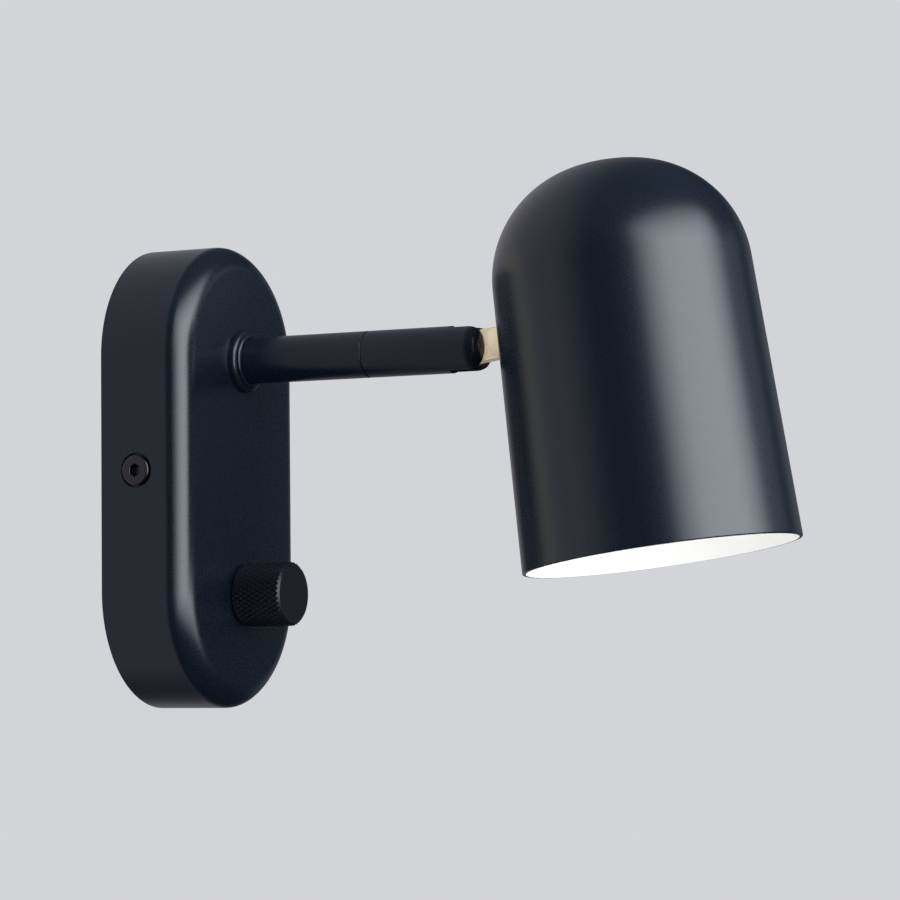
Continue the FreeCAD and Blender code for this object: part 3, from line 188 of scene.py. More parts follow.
class StudioSettings(bpy.types.PropertyGroup):
    """Camera, softbox and floor."""
    camera_azimuth: turn_angle("Camera azimuth", "Round the lamp from straight in front", -63.64)
    camera_elevation: turn_angle("Camera elevation", "Over the horizon, or under it if negative",
                                 -3.56)
    camera_roll: turn_angle("Camera roll", "Roll about the line of sight", -0.58)
    camera_left: length("Camera to the left", "From the lamp's middle plane", 991.282)
    camera_out: length("Camera out", "From the wall to the camera", 604.437)
    camera_below: length("Camera below", "From the middle of the casing down to the camera", 62.58)
    camera_lens: FloatProperty(name="Lens", description="Focal length in millimetres",
                               default=132.0)
    softbox_azimuth: turn_angle("Softbox azimuth", "From straight in front", -11.0)
    softbox_elevation: turn_angle("Softbox elevation", "Over the horizon", 13.5)
    softbox_distance: length("Softbox distance", "From the lamp to the softbox", 1300.0)
    softbox_width: length("Softbox width", "Width of the softbox", 1650.0)
    softbox_height: length("Softbox height", "Height of the softbox", 1530.0)
    softbox_edge: length("Softbox edge", "How far its cloth dims towards its edge", 900.0)
    softbox_layers: IntProperty(name="Softbox layers", description="Steps in which its cloth dims",
                                default=5)
    softbox_gap: length("Softbox gap", "From one layer of its cloth to the next", 10.0)
    softbox_level: FloatProperty(name="Softbox level", description="Radiance of the softbox",
                                 default=4.45)
    fill_level: FloatProperty(name="Fill level", description="Radiance of the light all round",
                              default=1.5)
    floor_drop: length("Floor drop", "From the middle of the casing down to the floor", 300.0)
    floor_radius: length("Floor radius", "Radius of the floor", 14000.0)
    floor_near: length("Floor near", "Radius at which it starts to run out", 300.0)
    floor_far: length("Floor far", "Radius at which it is all backdrop", 1600.0)
    floor_share: FloatProperty(name="Floor share", description="Backdrop in it at the lamp",
                               default=0.55)


GROUPS = {
    "casing_sizes": CasingSizes,
    "arm_sizes": ArmSizes,
    "shade_sizes": ShadeSizes,
    "knob_sizes": KnobSizes,
    "lamp_colours": LampColours,
    "studio_settings": StudioSettings,
}


# Mesh helpers

# How finely round forms are made, in steps
SCREW_STEPS = 64
HOLE_STEPS = 64
COLLAR_STEPS = 128
COLLAR_CORNER_STEPS = 8
SHADE_STEPS = 192
CASING_END_STEPS = 60
CASING_CORNER_STEPS = 12
CROWN_STEPS = 12
EDGE_ARC_STEPS = 6
SHADE_CROWN_STEPS = 8
SHOULDER_STEPS = 40
SKIRT_STEPS = 24
RIM_STEPS = 4
FLOOR_STEPS = 96

# A face looks along an axis when that part of its normal is over this limit.
FACING = 0.9999


def draw(bm, corners, closed=False, segments=6):
    """Draws an outline in X and Z through corners (side, along) or (side, along, radius)."""
    points = [bm.verts.new((corner[0], 0, corner[1])) for corner in corners]
    for first, second in zip(points, points[1:]):
        bm.edges.new((first, second))
    if closed:
        bm.edges.new((points[-1], points[0]))
    places = [point.co.copy() for point in points]
    for index, corner in enumerate(corners):
        if len(corner) < 3:
            continue
        back = places[index - 1] - places[index]
        ahead = places[(index + 1) % len(places)] - places[index]
        reach = corner[2] / math.tan(back.angle(ahead) / 2)
        round_off(bm, points[index], reach, segments)


def round_off(bm, point, reach, segments):
    """Rounds a corner of an outline, from a distance before it to the same distance after it."""
    bmesh.ops.bevel(bm, geom=[point], offset=reach, offset_type="OFFSET", segments=segments,
                    profile=0.5, affect="VERTICES", material=-1)


def swing(bm, tip, centre, angle, steps):
    """Draws an arc of the outline from its tip round a centre (side, along)."""
    made = bmesh.ops.spin(bm, geom=[tip], cent=(centre[0], 0, centre[1]), axis=(0, 1, 0),
                          dvec=(0, 0, 0), angle=-angle, steps=steps)
    return made["geom_last"][0]


def reach_to(bm, tip, side, along, steps=1):
    """Draws a straight stretch of the outline from its tip to a point."""
    start = tip.co.copy()
    end = Vector((side, 0, along))
    for step in range(1, steps + 1):
        point = bm.verts.new(start.lerp(end, step / steps))
        bm.edges.new((tip, point))
        tip = point
    return tip


def turn(bm, steps, material=0):
    """Spins what is drawn round Z into a skin, and closes its seam and its poles."""
    loose = [vert for vert in bm.verts if not vert.link_faces]
    loose += [edge for edge in bm.edges if not edge.link_faces]
    before = set(bm.faces)
    bmesh.ops.spin(bm, geom=loose, cent=(0, 0, 0), axis=(0, 0, 1), dvec=(0, 0, 0),
                   angle=2 * math.pi, steps=steps, use_merge=True)
    for face in set(bm.faces) - before:
        face.material_index = material
    tidy(bm)


def tidy(bm):
    """Merges points that meet, and turns every face outwards."""
    bmesh.ops.remove_doubles(bm, verts=bm.verts, dist=WELD)
    bmesh.ops.recalc_face_normals(bm, faces=bm.faces)


def turned_to(direction):
    """Matrix that turns Z to a direction."""
    return Vector((0, 0, 1)).rotation_difference(direction).to_matrix().to_4x4()


def circle(bm, centre, direction, radius, segments, spin=0.0):
    """A round or many-sided loop of edges, square to a direction."""
    place = Matrix.Translation(centre) @ turned_to(direction) @ Matrix.Rotation(spin, 4, "Z")
    made = bmesh.ops.create_circle(bm, cap_ends=False, segments=segments, radius=radius,
                                   matrix=place)
    return list({edge for vert in made["verts"] for edge in vert.link_edges})


def verts_of(made):
    """The points among what an operator made."""
    return [item for item in made if isinstance(item, bmesh.types.BMVert)]


def edges_of(made):
    """The edges among what an operator made."""
    return [item for item in made if isinstance(item, bmesh.types.BMEdge)]


def joining(edges, verts):
    """Those of some edges that join two of some points."""
    ends = set(verts)
    return [edge for edge in edges if edge.verts[0] in ends and edge.verts[1] in ends]


def sink(bm, edges, centre, direction, path):
    """Extrudes a loop along (radius, depth) pairs, the first of which is where it is now."""
    for (radius, depth), (next_radius, next_depth) in zip(path, path[1:]):
        made = bmesh.ops.extrude_edge_only(bm, edges=edges)["geom"]
        verts = verts_of(made)
        bmesh.ops.translate(bm, vec=direction * (next_depth - depth), verts=verts)
        middle = Matrix.Translation(-(centre + direction * next_depth))
        share = next_radius / radius
        bmesh.ops.scale(bm, vec=(share, share, share), space=middle, verts=verts)
        edges = joining(edges_of(made), verts)
    return edges


def soft_corner(radius, edge, steps=3):
    """(radius, depth) pairs round the mouth of a hole whose corner is softened by an edge."""
    path = []
    for step in range(steps + 1):
        angle = math.pi / 2 * step / steps
        path.append((radius + edge * (1 - math.sin(angle)), edge * (1 - math.cos(angle))))
    return path


def border(bm, test):
    """Border edges whose two ends pass a test."""
    return [edge for edge in bm.edges
            if len(edge.link_faces) < 2 and all(test(vert.co) for vert in edge.verts)]


def border_at(bm, level):
    """Border edges at a level of Z."""
    return border(bm, lambda place: abs(place.z - level) < WELD)


def fill(bm, edges):
    """Fills a flat outline and leaves its holes open."""
    bmesh.ops.triangle_fill(bm, edges=edges, use_beauty=True)


def lay(bm, direction, point):
    """Lays what was drawn along Z on its place on the lamp."""
    bmesh.ops.transform(bm, matrix=Matrix.Translation(point) @ direction.to_4x4(), verts=bm.verts)


def out_at(height):
    """The point on the wall plane from which a piece at a height runs into the room."""
    return Vector((0, 0, height))


def rod(radius, start, end):
    """A round cutter, laid from one point to another."""
    tool = bmesh.new()
    along = end - start
    place = Matrix.Translation((start + end) / 2) @ turned_to(along)
    bmesh.ops.create_cone(tool, cap_ends=True, segments=HOLE_STEPS, radius1=radius, radius2=radius,
                          depth=along.length, matrix=place)
    return tool


def everything(bm):
    """All points, edges and faces."""
    return bm.verts[:] + bm.edges[:] + bm.faces[:]


def cut(bm, tool, finishes):
    """Cuts a hole with a boolean, and keeps which finish each face has."""
    work, cutter = (bpy.data.objects.new(name, bpy.data.meshes.new(name))
                    for name in ("work", "cutter"))
    for item, source in ((work, bm), (cutter, tool)):
        source.to_mesh(item.data)
        bpy.context.scene.collection.objects.link(item)
        for finish in finishes:
            item.data.materials.append(finish)
    tool.free()
    boolean = work.modifiers.new("Hole", "BOOLEAN")
    boolean.operation = "DIFFERENCE"
    boolean.solver = "EXACT"
    boolean.object = cutter
    depsgraph = bpy.context.evaluated_depsgraph_get()
    result = bpy.data.meshes.new_from_object(work.evaluated_get(depsgraph))
    bm.clear()
    bm.from_mesh(result)
    bpy.data.meshes.remove(result)
    for item in (work, cutter):
        bpy.data.meshes.remove(item.data)


def make_piece(name, bm, body, nodes, finishes, sharp=32.0):
    """Makes a piece that rides on a body, stands for CAD nodes and is smooth up to an angle."""
    tidy(bm)
    mesh = bpy.data.meshes.new(name)
    bm.to_mesh(mesh)
    bm.free()
    piece = bpy.data.objects.new(name, mesh)
    bpy.context.scene.collection.objects.link(piece)
    for finish in finishes:
        mesh.materials.append(finish)
    mesh.shade_smooth()
    mesh.set_sharp_from_angle(angle=math.radians(sharp))
    weighted = piece.modifiers.new("Flat faces stay flat", "WEIGHTED_NORMAL")
    weighted.keep_sharp = True
    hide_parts(*nodes)
    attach(piece, body)


# Material helpers

# Inputs whose names don't tell them apart, by number
MIX_SHARE, MIX_FIRST, MIX_SECOND = 0, 6, 7  # of a mix of colours
BLEND_FIRST, BLEND_SECOND = 1, 2  # of a mix of shaders
MIX_RESULT = 2  # output of a mix of colours

NOISE_LOW, NOISE_HIGH = 0.3, 0.7  # between which nearly all of a noise lies
NOISE_DETAIL = 2.0


def add_node(tree, kind, inputs, **settings):
    """Adds a node with its settings, and a link or a constant on each input that is named."""
    node = tree.nodes.new(kind)
    for name, value in settings.items():
        setattr(node, name, value)
    for name, value in inputs.items():
        if isinstance(value, bpy.types.NodeSocket):
            tree.links.new(value, node.inputs[name])
        else:
            node.inputs[name].default_value = value
    return node


def new_finish(name, values):
    """A material with constants on its shader's sockets; gives material, tree and shader."""
    material = bpy.data.materials.new(name)
    material.use_nodes = True
    shader = material.node_tree.nodes["Principled BSDF"]
    for socket, value in values.items():
        shader.inputs[socket].default_value = value
    return material, material.node_tree, shader


def relief(tree, shader, spacing, height):
    """Fine uneven relief: bumps a spacing apart and about a height deep, in millimetres."""
    place = add_node(tree, "ShaderNodeTexCoord", {})
    noise = add_node(tree, "ShaderNodeTexNoise",
                     {"Vector": place.outputs["Object"], "Scale": 1 / (spacing * MM),
                      "Detail": NOISE_DETAIL})
    bump = add_node(tree, "ShaderNodeBump",
                    {"Height": noise.outputs["Fac"], "Distance": height * MM, "Strength": 1.0})
    tree.links.new(bump.outputs["Normal"], shader.inputs["Normal"])
    return noise


def uneven_gloss(tree, shader, noise, low, high):
    """Roughness that wanders between two values with a noise."""
    spread = add_node(tree, "ShaderNodeMapRange",
                      {"Value": noise.outputs["Fac"], "From Min": NOISE_LOW,
                       "From Max": NOISE_HIGH, "To Min": low, "To Max": high})
    tree.links.new(spread.outputs["Result"], shader.inputs["Roughness"])


def surface(name, values, marks):
    """A finish of a material name, the shader's constants and its marks.

    The marks are the lowest and highest roughness, the spacing and the height in millimetres.
    """
    material, tree, shader = new_finish(name, values)
    low, high, spacing, height = marks
    noise = relief(tree, shader, spacing, height)
    uneven_gloss(tree, shader, noise, low, high)
    return material


# By slot, the material name, colour and marks of each metal. The marks of machining and tumbling
# are finer than 0.1 mm and are drawn as coarse as they need to show.
METALS = {
    # Dark, with small sharp glints
    "black_steel": ("black_oxide_steel", "#5A585E", (0.26, 0.34, 0.3, 0.002)),
    # Pale grey with a soft cloudy shine
    "zinc_steel": ("zinc_plated_steel", "#C9CCD0", (0.3, 0.42, 0.8, 0.003)),
    # Warm mid grey with clear highlights
    "spring_steel": ("spring_steel_polished", "#9C9A96", (0.24, 0.34, 0.4, 0.002)),
    # Warm and bright, like a dull mirror
    "nickel": ("nickel_plated_brass", "#C8C2B6", (0.2, 0.3, 0.5, 0.002)),
}

# The same for each plastic, rubber and glass, with the grain of its mould
MOULDINGS = {
    # Black with a dull soft sheen
    "nylon": ("nylon_moulded_black", "#141517", (0.45, 0.6, 0.4, 0.004)),
    # Black and nearly matt
    "grommet_rubber": ("rubber_moulded_black", "#1B1B1C", (0.6, 0.75, 0.3, 0.006)),
    # Creamy white with a satin sheen
    "terminal_plastic": ("polyamide_moulded_white", "#E4E1D8", (0.4, 0.5, 0.5, 0.005)),
    # Greyish black with a satin sheen
    "dimmer_plastic": ("polybutylene_moulded_black", "#202124", (0.4, 0.55, 0.4, 0.006)),
    # Warm white, smooth, with a soft gloss
    "holder_plastic": ("thermoplastic_holder_white", "#E9E7E1", (0.35, 0.45, 0.5, 0.004)),
    # White and a little glossier still
    "bulb_plastic": ("polycarbonate_white", "#ECEAE5", (0.32, 0.42, 0.5, 0.004)),
    # Poured and fire-polished: deep black with a clear gloss
    "bulb_insulator": ("vitrite_black_glass", "#141416", (0.12, 0.2, 0.6, 0.002)),
    # Extruded: warm grey and almost matt
    "lead_sleeve": ("silicone_sleeve_lead", "#B9B4AB", (0.5, 0.62, 0.5, 0.004)),
}


def stoved_paint(name, shade_of):
    """Polyester paint, sprayed and stoved: a satin sheen with the faint swell of orange peel."""
    values = {"Base Color": shade_of, "IOR": 1.6, "Coat Weight": 0.25, "Coat Roughness": 0.26}
    return surface(name, values, (0.25, 0.28, 0.9, 0.0015))


def white_enamel(name, shade_of):
    """White stoved enamel: spreads the bulb's light evenly, with a soft gloss."""
    return surface(name, {"Base Color": shade_of, "IOR": 1.5}, (0.45, 0.55, 1.2, 0.002))


def anodised_aluminium(name, shade_of):
    """Black anodised aluminium: a dense dark film of alumina with crisp small highlights."""
    return surface(name, {"Base Color": shade_of, "IOR": 1.6}, (0.34, 0.4, 0.25, 0.002))


def satin_brass(name, shade_of):
    """Turned brass under a satin lacquer: it scatters part of the light and so stays pale."""
    values = {"Base Color": shade_of, "Metallic": 0.1, "Coat Weight": 0.2, "Coat Roughness": 0.3}
    return surface(name, values, (0.42, 0.52, 0.3, 0.002))


def opal_globe(name):
    """Lit opal polycarbonate: an even warm white glow under a soft gloss."""
    values = {"Base Color": linear("#F4F2EC"), "IOR": 1.58, "Emission Color": linear("#FFFEFB"),
              "Emission Strength": 1.85}
    return surface(name, values, (0.35, 0.42, 2.0, 0.003))


def make_finishes(colours):
    """Every finish of the lamp, by the name of its slot."""
    paint = [*colours.paint, 1.0]
    finishes = {
        "dark_paint": stoved_paint("stoved_paint_blue_black", paint),
        "shade_paint": stoved_paint("stoved_paint_on_spun_steel", paint),
        "white_enamel": white_enamel("stoved_enamel_white", [*colours.enamel, 1.0]),
        "knurled_black": anodised_aluminium("anodised_aluminium_black", [*colours.anodised, 1.0]),
        "brass": satin_brass("satin_brass_turned", [*colours.brass, 1.0]),
        "opal": opal_globe("opal_polycarbonate_lit"),
    }
    for slot, (name, tone, marks) in METALS.items():
        finishes[slot] = surface(name, {"Base Color": linear(tone), "Metallic": 1.0}, marks)
    for slot, (name, tone, marks) in MOULDINGS.items():
        finishes[slot] = surface(name, {"Base Color": linear(tone), "IOR": 1.5}, marks)
    return finishes


FINISHES = {}  # by slot, filled by the Operator for the hardware


# Pieces

def edge_path(sizes):
    """The casing's front edge as (inward, forward) steps from its side, in three arcs."""
    path = [(0.0, 0.0)]
    radii = (sizes.edge_side, sizes.edge_radius, sizes.edge_front)
    turns = (0, sizes.edge_start, sizes.edge_end, math.pi / 2 - sizes.crown_turn)
    for radius, start, end in zip(radii, turns, turns[1:]):
        inward, forward = path[-1]
        for step in range(1, EDGE_ARC_STEPS + 1):
            angle = start + (end - start) * step / EDGE_ARC_STEPS
            path.append((inward + radius * (math.cos(start) - math.cos(angle)),
                         forward + radius * (math.sin(angle) - math.sin(start))))
    return path


def build_shell(sizes):
    """Cast shell: a stadium with a crowned front and a round edge, open at the wall."""
    bm = bmesh.new()
    radius = sizes.width / 2
    straight = sizes.height / 2 - radius
    inner = radius - sizes.wall
    inside = sizes.depth - sizes.wall
    edge = edge_path(sizes)
    crown_end = radius - edge[-1][0]
    crown_radius = crown_end / math.sin(sizes.crown_turn)
    edge_out = sizes.depth - crown_end * math.tan(sizes.crown_turn / 2) - edge[-1][1]
    draw(bm, [(radius - inward, edge_out + forward) for inward, forward in reversed(edge)] + [
        (radius, sizes.rim_gap, sizes.rim_edge),
        (inner, sizes.rim_gap, sizes.rim_edge),
        (inner, inside, sizes.inner_edge_radius),
        (inner - sizes.inner_edge_radius, inside),
    ], segments=CASING_CORNER_STEPS)
    swing(bm, bm.verts.new((0, 0, sizes.depth)), (0, sizes.depth - crown_radius),
          -sizes.crown_turn, CROWN_STEPS)
    tidy(bm)
    # Half a turn round the upper end, down one side, half a turn round the lower end, up again
    bmesh.ops.translate(bm, vec=(0, straight, 0), verts=bm.verts)
    outline = bm.verts[:] + bm.edges[:]
    for end in (straight, -straight):
        spun = bmesh.ops.spin(bm, geom=outline, cent=(0, end, 0), axis=(0, 0, 1), dvec=(0, 0, 0),
                              angle=math.pi, steps=CASING_END_STEPS)["geom_last"]
        verts = verts_of(bmesh.ops.extrude_edge_only(bm, edges=edges_of(spun))["geom"])
        bmesh.ops.translate(bm, vec=(0, -2 * end, 0), verts=verts)
        outline = verts + joining(bm.edges, verts)
    tidy(bm)
    fill(bm, border_at(bm, inside))
    return bm


def seat_screws(bm, sizes):
    """Sinks the seat and the hole of a side screw into each side of the shell."""
    seat_radius = sizes.head_radius + sizes.recess_gap
    hole_radius = sizes.screw_radius + sizes.hole_gap
    path = soft_corner(seat_radius, sizes.recess_edge) + [
        (seat_radius, sizes.recess_depth),
        (hole_radius, sizes.recess_depth),
        (hole_radius, sizes.wall),
    ]
    for side in (-1, 1):
        sideways = Vector((side, 0, 0))
        centre = Vector((side * sizes.width / 2, sizes.screw_height, sizes.screw_out))
        walls = [face for face in bm.faces
                 if abs(face.normal.x) > FACING and face.calc_center_median().x * side > 0]
        inner_wall, outer_wall = sorted(walls, key=lambda face: abs(face.calc_center_median().x))
        inner_edges = list(inner_wall.edges)
        outer_edges = list(outer_wall.edges)
        bmesh.ops.delete(bm, geom=[outer_wall, inner_wall], context="FACES_ONLY")
        ring = circle(bm, centre, sideways, path[0][0], HOLE_STEPS)
        last = sink(bm, ring, centre, -sideways, path)
        fill(bm, outer_edges + ring)
        fill(bm, inner_edges + last)


def build_casing(sizes, arm, knob, finishes):
    """Shell with the seats of its side screws and the holes behind the arm and the knob."""
    bm = build_shell(sizes)
    seat_screws(bm, sizes)
    lay(bm, OUTWARD, out_at(0))
    tidy(bm)
    through = Vector((0, -2 * sizes.depth, 0))
    for height in (arm.height, -knob.drop):
        start = out_at(height)
        cut(bm, rod(arm.nipple_radius + sizes.hole_gap, start, start + through), finishes)
    return bm


class WALLLAMP_OT_casing(bpy.types.Operator):
    """Model the cast casing"""
    bl_idname = "walllamp.casing"
    bl_label = "Casing"

    def execute(self, context):
        scene = context.scene
        finishes = [FINISHES["dark_paint"]]
        bm = build_casing(scene.casing_sizes, scene.arm_sizes, scene.knob_sizes, finishes)
        make_piece("casing_shell", bm, "root", ["casing"], finishes)
        return {"FINISHED"}


def build_side_screws(sizes):
    """Low-head screws with a rounded edge and a hexagonal socket, one on each side."""
    bm = bmesh.new()
    seat = sizes.width / 2 - sizes.recess_depth
    top = seat + sizes.head_height
    draw(bm, [
        (sizes.head_radius - sizes.head_edge, top),
        (sizes.head_radius, top, sizes.head_edge),
        (sizes.head_radius, seat),
        (sizes.screw_radius, seat),
        (sizes.screw_radius, seat - sizes.screw_length),
        (0, seat - sizes.screw_length),
    ])
    turn(bm, SCREW_STEPS)
    rim = border_at(bm, top)
    corner = sizes.hex_across / math.sqrt(3)
    centre = Vector((0, 0, top))
    path = [(corner + sizes.hex_lip, 0), (corner, sizes.hex_lip), (corner, sizes.hex_depth)]
    ring = circle(bm, centre, Vector((0, 0, 1)), path[0][0], 6, math.pi / 2)
    fill(bm, rim + ring)
    last = sink(bm, ring, centre, Vector((0, 0, -1)), path)
    bmesh.ops.edgeloop_fill(bm, edges=last)
    lay(bm, RIGHTWARD, Vector((0, -sizes.screw_out, sizes.screw_height)))
    bmesh.ops.mirror(bm, geom=everything(bm), axis="X", merge_dist=0)
    return bm


class WALLLAMP_OT_side_screws(bpy.types.Operator):
    """Model the two side screws of the casing"""
    bl_idname = "walllamp.side_screws"
    bl_label = "Side screws"

    def execute(self, context):
        bm = build_side_screws(context.scene.casing_sizes)
        finishes = [FINISHES["black_steel"]]
        make_piece("side_screws", bm, "root", ["casing_side_screws"], finishes)
        return {"FINISHED"}


def build_collar(casing, sizes):
    """Two rounded steps between the casing and the arm, with a socket for the arm."""
    bm = bmesh.new()
    start = casing.depth
    step = start + sizes.collar_base
    front = step + sizes.collar_step
    hole = sizes.nipple_radius + casing.hole_gap
    socket = sizes.radius + casing.hole_gap
    draw(bm, [
        (hole, start),
        (sizes.collar_radius, start),
        (sizes.collar_radius, step, sizes.collar_base_edge),
        (sizes.collar_step_radius, step),
        (sizes.collar_step_radius, front, sizes.collar_step_edge),
        (socket, front),
        (socket, front - sizes.collar_socket),
        (hole, front - sizes.collar_socket),
    ], closed=True, segments=COLLAR_CORNER_STEPS)
    turn(bm, COLLAR_STEPS)
    lay(bm, OUTWARD, out_at(sizes.height))
    return bm


class WALLLAMP_OT_collar(bpy.types.Operator):
    """Model the collar at the foot of the arm"""
    bl_idname = "walllamp.collar"
    bl_label = "Collar"

    def execute(self, context):
        bm = build_collar(context.scene.casing_sizes, context.scene.arm_sizes)
        finishes = [FINISHES["dark_paint"]]
        make_piece("arm_collar_ring", bm, "root", ["arm_collar"], finishes)
        return {"FINISHED"}


def build_fork(sizes):
    """Front part of the arm: a copy of the frame's, with a shorter nose and a deeper slot."""
    bm = bmesh.new()
    bm.from_mesh(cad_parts["front_arm"].data)
    tidy(bm)
    bm.normal_update()
    land = sizes.hinge_land
    floor = {vert for face in bm.faces if face.normal.y < -FACING for vert in face.verts
             if abs(vert.co.x) < land and -vert.co.y < sizes.pivot_out - land}
    for vert in floor:
        vert.co.y = -sizes.slot_floor
    share = (sizes.nose - land) / (sizes.radius - land)
    for vert in bm.verts:
        ahead = -vert.co.y - sizes.pivot_out
        if ahead > land:
            vert.co.y = -sizes.pivot_out - land - (ahead - land) * share
    return bm


class WALLLAMP_OT_fork(bpy.types.Operator):
    """Model the forked front part of the arm"""
    bl_idname = "walllamp.fork"
    bl_label = "Fork"

    def execute(self, context):
        bm = build_fork(context.scene.arm_sizes)
        finishes = [FINISHES["dark_paint"]]
        make_piece("arm_fork", bm, "front_arm", ["front_arm"], finishes)
        return {"FINISHED"}


def shoulder_rise(sizes):
    """How far the centre of the shoulder's arc lies above the centre of the crown's."""
    slope = sizes.cone
    below = sizes.length - sizes.crown_radius
    offset = sizes.shoulder_offset * math.cos(slope)
    skirt_reach = sizes.mouth_radius * math.cos(slope) - below * math.sin(slope)
    left_over = sizes.crown_radius - skirt_reach + offset
    height = math.sqrt(left_over ** 2 - offset ** 2)
    return (left_over * math.sin(slope) + height) / math.cos(slope) ** 2


def draw_bell(bm, sizes, inset):
    """Outline of the bell from its top to its mouth: crown, shoulder and conical skirt."""
    rise = shoulder_rise(sizes)
    crown_turn = math.atan(sizes.shoulder_offset / rise)
    shoulder_turn = math.pi / 2 - sizes.cone - crown_turn
    tip = bm.verts.new((0, 0, inset))
    tip = swing(bm, tip, (0, sizes.crown_radius), crown_turn, SHADE_CROWN_STEPS)
    centre = (sizes.shoulder_offset, sizes.crown_radius - rise)
    tip = swing(bm, tip, centre, shoulder_turn, SHOULDER_STEPS)
    side = sizes.mouth_radius - inset / math.cos(sizes.cone)
    return reach_to(bm, tip, side, sizes.length, SKIRT_STEPS)


def shade_matrix(arm, sizes):
    """From the upright axis of the bell, drawn down from its top, to the shade at rest."""
    at_stud = sizes.mouth_radius - (sizes.length - sizes.rise) * math.tan(sizes.cone)
    axis_out = arm.pivot_out + sizes.wall_reach + at_stud
    pivot = Matrix.Translation((0, -arm.pivot_out, arm.height))
    upright = Matrix.Translation((0, -axis_out, arm.height + sizes.rise)) @ DOWNWARD.to_4x4()
    return pivot @ Matrix.Rotation(-sizes.tilt, 4, "X") @ pivot.inverted() @ upright


def build_shade(arm, sizes, finishes):
    """Spun bell: dark outside and over the rim, white inside, with a hole for the tongue's stud."""
    bm = bmesh.new()
    rim = draw_bell(bm, sizes, 0)
    reach_to(bm, rim, sizes.mouth_radius - sizes.wall / math.cos(sizes.cone), sizes.length)
    round_off(bm, rim, sizes.rim_edge, RIM_STEPS)
    turn(bm, SHADE_STEPS)
    draw_bell(bm, sizes, sizes.wall)
    turn(bm, SHADE_STEPS, 1)
    tidy(bm)
    bmesh.ops.transform(bm, matrix=shade_matrix(arm, sizes), verts=bm.verts)
    pivot = Vector((0, -arm.pivot_out, arm.height))
    into = Matrix.Rotation(-sizes.tilt, 3, "X") @ Vector((0, -sizes.mouth_radius, 0))
    cut(bm, rod(sizes.stud_radius + sizes.stud_gap, pivot, pivot + into), finishes)
    return bm


class WALLLAMP_OT_shade(bpy.types.Operator):
    """Model the spun shade"""
    bl_idname = "walllamp.shade"
    bl_label = "Shade"

    def execute(self, context):
        finishes = [FINISHES["shade_paint"], FINISHES["white_enamel"]]
        bm = build_shade(context.scene.arm_sizes, context.scene.shade_sizes, finishes)
        make_piece("shade_bell", bm, "head", ["shade"], finishes)
        return {"FINISHED"}


def build_knob(sizes, finishes):
    """Turned knob with a diamond knurl that its chamfers cut off, and its grub screw's hole."""
    bm = bmesh.new()
    root = sizes.radius - sizes.knurl_depth
    body_length = sizes.front - sizes.start
    rows = math.ceil(body_length / sizes.knurl_length) + 1
    draw(bm, [(root, row * sizes.knurl_length) for row in range(rows + 1)])
    turn(bm, sizes.knurl_count)
    squares = bm.edges[:]
    bmesh.ops.poke(bm, faces=bm.faces)
    for vert in bm.verts:
        vert.co.xy = vert.co.xy.normalized() * root
    inside = [edge for edge in squares if len(edge.link_faces) == 2]
    bmesh.ops.dissolve_edges(bm, edges=inside, use_verts=False)
    diamonds = [face for face in bm.faces if len(face.verts) == 4]
    bmesh.ops.inset_individual(bm, faces=diamonds, thickness=sizes.knurl_flank,
                               depth=sizes.knurl_depth, use_even_offset=True)
    for face in diamonds:
        for vert in face.verts:
            vert.co.xy = vert.co.xy.normalized() * sizes.radius
    rear = sizes.knurl_length / 2
    front = rear + body_length
    # The two ends are cut off, and rings of points go where the chamfers lie.
    cuts = [(rear, -1, True), (front, 1, True)]
    cuts += [(rear + sizes.rear_chamfer * share, -1, False) for share in (0.5, 1)]
    cuts += [(front - sizes.front_chamfer * share, 1, False) for share in (0.25, 0.5, 0.75, 1)]
    for along, side, clear in cuts:
        bmesh.ops.bisect_plane(bm, geom=everything(bm), dist=WELD, plane_co=(0, 0, along),
                               plane_no=(0, 0, side), clear_outer=clear)
    for vert in bm.verts:
        at_front = sizes.front_chamfer - (front - vert.co.z)
        at_rear = sizes.rear_chamfer - (vert.co.z - rear)
        limit = sizes.radius - max(0, at_front, at_rear)
        if vert.co.xy.length > limit:
            vert.co.xy = vert.co.xy.normalized() * limit
    tidy(bm)
    bmesh.ops.edgeloop_fill(bm, edges=border_at(bm, front))
    rear_ring = border_at(bm, rear)
    path = [
        (root, 0),
        (sizes.recess_radius, 0),
        (sizes.recess_radius, sizes.recess_depth),
        (sizes.bore_radius, sizes.recess_depth),
        (sizes.bore_radius, body_length - sizes.face),
    ]
    last = sink(bm, rear_ring, Vector((0, 0, rear)), Vector((0, 0, 1)), path)
    bmesh.ops.edgeloop_fill(bm, edges=last)
    bmesh.ops.translate(bm, vec=(0, 0, sizes.start - rear), verts=bm.verts)
    lay(bm, OUTWARD, out_at(-sizes.drop))
    hub_start = sizes.start + sizes.recess_depth
    hub_end = sizes.front - sizes.face
    middle = Vector((0, -(hub_start + hub_end) / 2, -sizes.drop))
    beside = Vector((2 * sizes.radius, 0, 0))
    cut(bm, rod(sizes.grub_radius, middle, middle + beside), finishes)
    return bm


class WALLLAMP_OT_knob(bpy.types.Operator):
    """Model the knurled knob"""
    bl_idname = "walllamp.knob"
    bl_label = "Knob"

    def execute(self, context):
        finishes = [FINISHES["knurled_black"]]
        bm = build_knob(context.scene.knob_sizes, finishes)
        make_piece("knurled_knob", bm, "knob", ["knob"], finishes, sharp=20.0)
        return {"FINISHED"}


